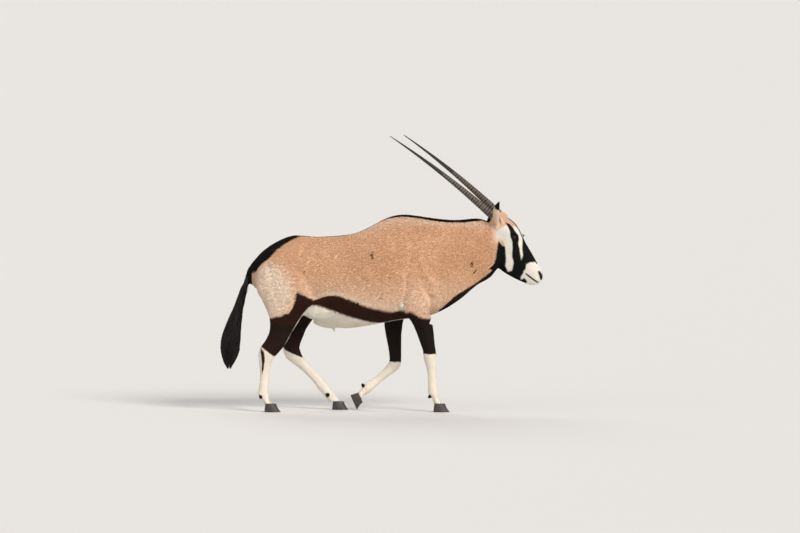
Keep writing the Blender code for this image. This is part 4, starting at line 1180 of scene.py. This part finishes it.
def horn_material():
    """Dark horn: dull and grooved low down, with painted highlights on the ring crests and painted
    shade in the grooves, smooth and black at the tip.
    """
    material, wiring = new_material("horn", {})
    fibre = wiring.noise(90.0, 5.0, (0.0, math.radians(37), 0.0), (0.06, 1.0, 1.0))
    along = wiring.attribute("along")
    # Ring crests lighter and grooves darker: painted highlight and painted shade on the rings
    ridge = wiring.edge(wiring.attribute("ridge"), 0.15, 0.85)
    low = wiring.blend(ridge, linear(22, 18, 16), linear(108, 94, 79))
    low = wiring.blend(wiring.edge(fibre, 0.35, 0.70, 0.0, 0.45), low, linear(52, 43, 37))
    colour = wiring.blend(wiring.edge(along, 0.42, 0.70), low, linear(24, 21, 20))
    # Lighter still where the surface is most pointed, on the crests of the rings
    crest_lightening = wiring.edge(wiring.add("NewGeometry", output=7), 0.50, 0.62, 0.0, 0.55)
    colour = wiring.blend(crest_lightening, colour, linear(140, 122, 106))
    wiring.finish(colour, fibre, 0.45, 0.0012)
    wiring.roughen(wiring.edge(along, 0.3, 0.8, 0.55, 0.30))
    return material


def hoof_material():
    """Dark grey claw with growth rings and worn, dusty walls."""
    material, wiring = new_material("hoof", {"Roughness": 0.55})
    place = wiring.add("TexCoord", output=3)
    rings = wiring.add("TexWave", {"bands_direction": "Z"},
                       {"Vector": place, "Scale": 90.0, "Distortion": 2.5, "Detail": 2.0}, output=1)
    fibre = wiring.noise(160.0, 5.0, size=(1.0, 1.0, 0.15))
    dust = wiring.edge(wiring.noise(18.0, 4.0), 0.5, 0.75, 0.0, 0.30)
    colour = wiring.blend(wiring.edge(fibre, 0.3, 0.7), linear(38, 34, 32), linear(62, 55, 50))
    colour = wiring.blend(dust, colour, linear(138, 116, 94))
    wiring.finish(colour, wiring.maths("MULTIPLY_ADD", rings, 0.2, fibre), 0.4, 0.001)
    return material


def eye_material():
    """A dark brown iris with a level pupil and a wet surface."""
    material, wiring = new_material("eye", {"Roughness": 0.06, "Specular IOR Level": 0.26,
                                            "Coat Weight": 0.12, "Coat Roughness": 0.02})
    wide = wiring.maths("POWER", wiring.maths("DIVIDE", wiring.attribute("level"), 0.46), 2.0)
    high = wiring.maths("POWER", wiring.maths("DIVIDE", wiring.attribute("upright"), 0.20), 2.0)
    pupil = wiring.edge(wiring.maths("ADD", wide, high), 0.85, 1.15, 1.0, 0.0)
    iris = wiring.edge(wiring.attribute("gaze"), 0.66, 0.72)
    ray = wiring.edge(wiring.noise(420.0), 0.35, 0.65)
    colour = wiring.blend(ray, linear(20, 11, 7), linear(46, 27, 15))
    colour = wiring.blend(iris, linear(26, 20, 18), colour)
    colour = wiring.blend(pupil, colour, linear(5, 5, 7))
    wiring.finish(colour, wiring.noise(300.0), 0.05, 0.0003)
    return material


def build_looks():
    """All the materials, by name."""
    group = hair_grain_group()
    looks = {name: coat_material(name, group, *settings) for name, settings in COATS.items()}
    looks["black_hair"] = black_hair_material(group)
    looks["horn"] = horn_material()
    looks["hoof"] = hoof_material()
    looks["eye"] = eye_material()
    return looks


def build_floor():
    """A wide, plain, pale floor."""
    bm = bmesh.new()
    bmesh.ops.create_grid(bm, x_segments=1, y_segments=1, size=FLOOR_REACH)
    floor = from_bmesh("floor", bm)
    settings = {"Base Color": linear(216, 213, 208), "Roughness": 0.85}
    floor.data.materials.append(new_material("floor", settings)[0])


def add_suns():
    """Soft, even lights from far off."""
    for name, place, strength, spread, colour in SUNS:
        data = bpy.data.lights.new(name, "SUN")
        data.energy = strength
        data.angle = math.radians(spread)
        data.color = colour
        light = add_object(name, data)
        light.matrix_world = (-Vector(place)).to_track_quat("-Z", "Y").to_matrix().to_4x4()


def add_backdrop():
    """A pale, even surrounding light."""
    world = bpy.data.worlds.new("studio")
    world.use_nodes = True
    backdrop = world.node_tree.nodes["Background"]
    backdrop.inputs["Color"].default_value = linear(226, 227, 230)
    backdrop.inputs["Strength"].default_value = 0.60
    bpy.context.scene.world = world


def add_camera(origin):
    """The camera at the photograph's angle."""
    data = bpy.data.cameras.new("camera")
    data.sensor_width = 36.0
    data.lens = data.sensor_width * CAMERA_DISTANCE / (PHOTO_WIDTH * STEP)
    data.clip_end = VIEW_REACH
    camera = add_object("camera", data)
    across, down = PHOTO_MIDDLE
    aim = Vector(((across - DRAWN_ORIGIN[0]) * STEP, 0.0, (DRAWN_ORIGIN[1] - down) * STEP))
    away = Vector((0.0, -math.cos(CAMERA_ELEVATION), math.sin(CAMERA_ELEVATION)))
    away = away * CAMERA_DISTANCE
    turn = (-away).to_track_quat("-Z", "Y").to_matrix().to_4x4()
    camera.matrix_world = Matrix.Translation(aim - Vector(origin) + away) @ turn
    bpy.context.scene.camera = camera
    bpy.context.scene.view_settings.view_transform = "Standard"


def build_animal(nodes, looks, origin):
    """All the pieces of the animal."""
    skin = build_skin(nodes, origin)
    crest = crest_curve(skin, origin)
    press_crest(skin.data, origin, crest)
    guide = unwrap_guide(skin)
    points = vertex_array(skin.data) + origin
    for name, numbers in markings(points).items():
        set_attribute(skin.data, name, numbers)
    # The bare skin between the tufts is darkened a little: painted shade in the gaps of the coat
    set_attribute(skin.data, "shade", np.full(len(points), -2.2))
    finish_piece(skin, looks, "fawn_coat", *FLESH)
    build_coat(skin, guide, origin, looks)
    build_mane(crest, guide, origin, looks)
    build_tail_core(origin, looks)
    build_tail_hair(guide, origin, looks)
    for side, sign in SIDES.items():
        build_horn(side, sign, origin, looks)
        build_eye(side, sign, origin, looks)
        build_lashes(side, sign, guide, origin, looks)
    build_claws(nodes, looks)


def main():
    """Build the whole animal around the frame."""
    for obj in list(bpy.data.objects):
        bpy.data.objects.remove(obj, do_unlink=True)
    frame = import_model()
    low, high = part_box("eye_right")
    origin = np.array(eye_frame(SIDES["right"])[0] - (low + high) / 2)
    build_animal(frame["nodes"], build_looks(), origin)
    build_floor()
    add_suns()
    add_backdrop()
    add_camera(origin)


main()
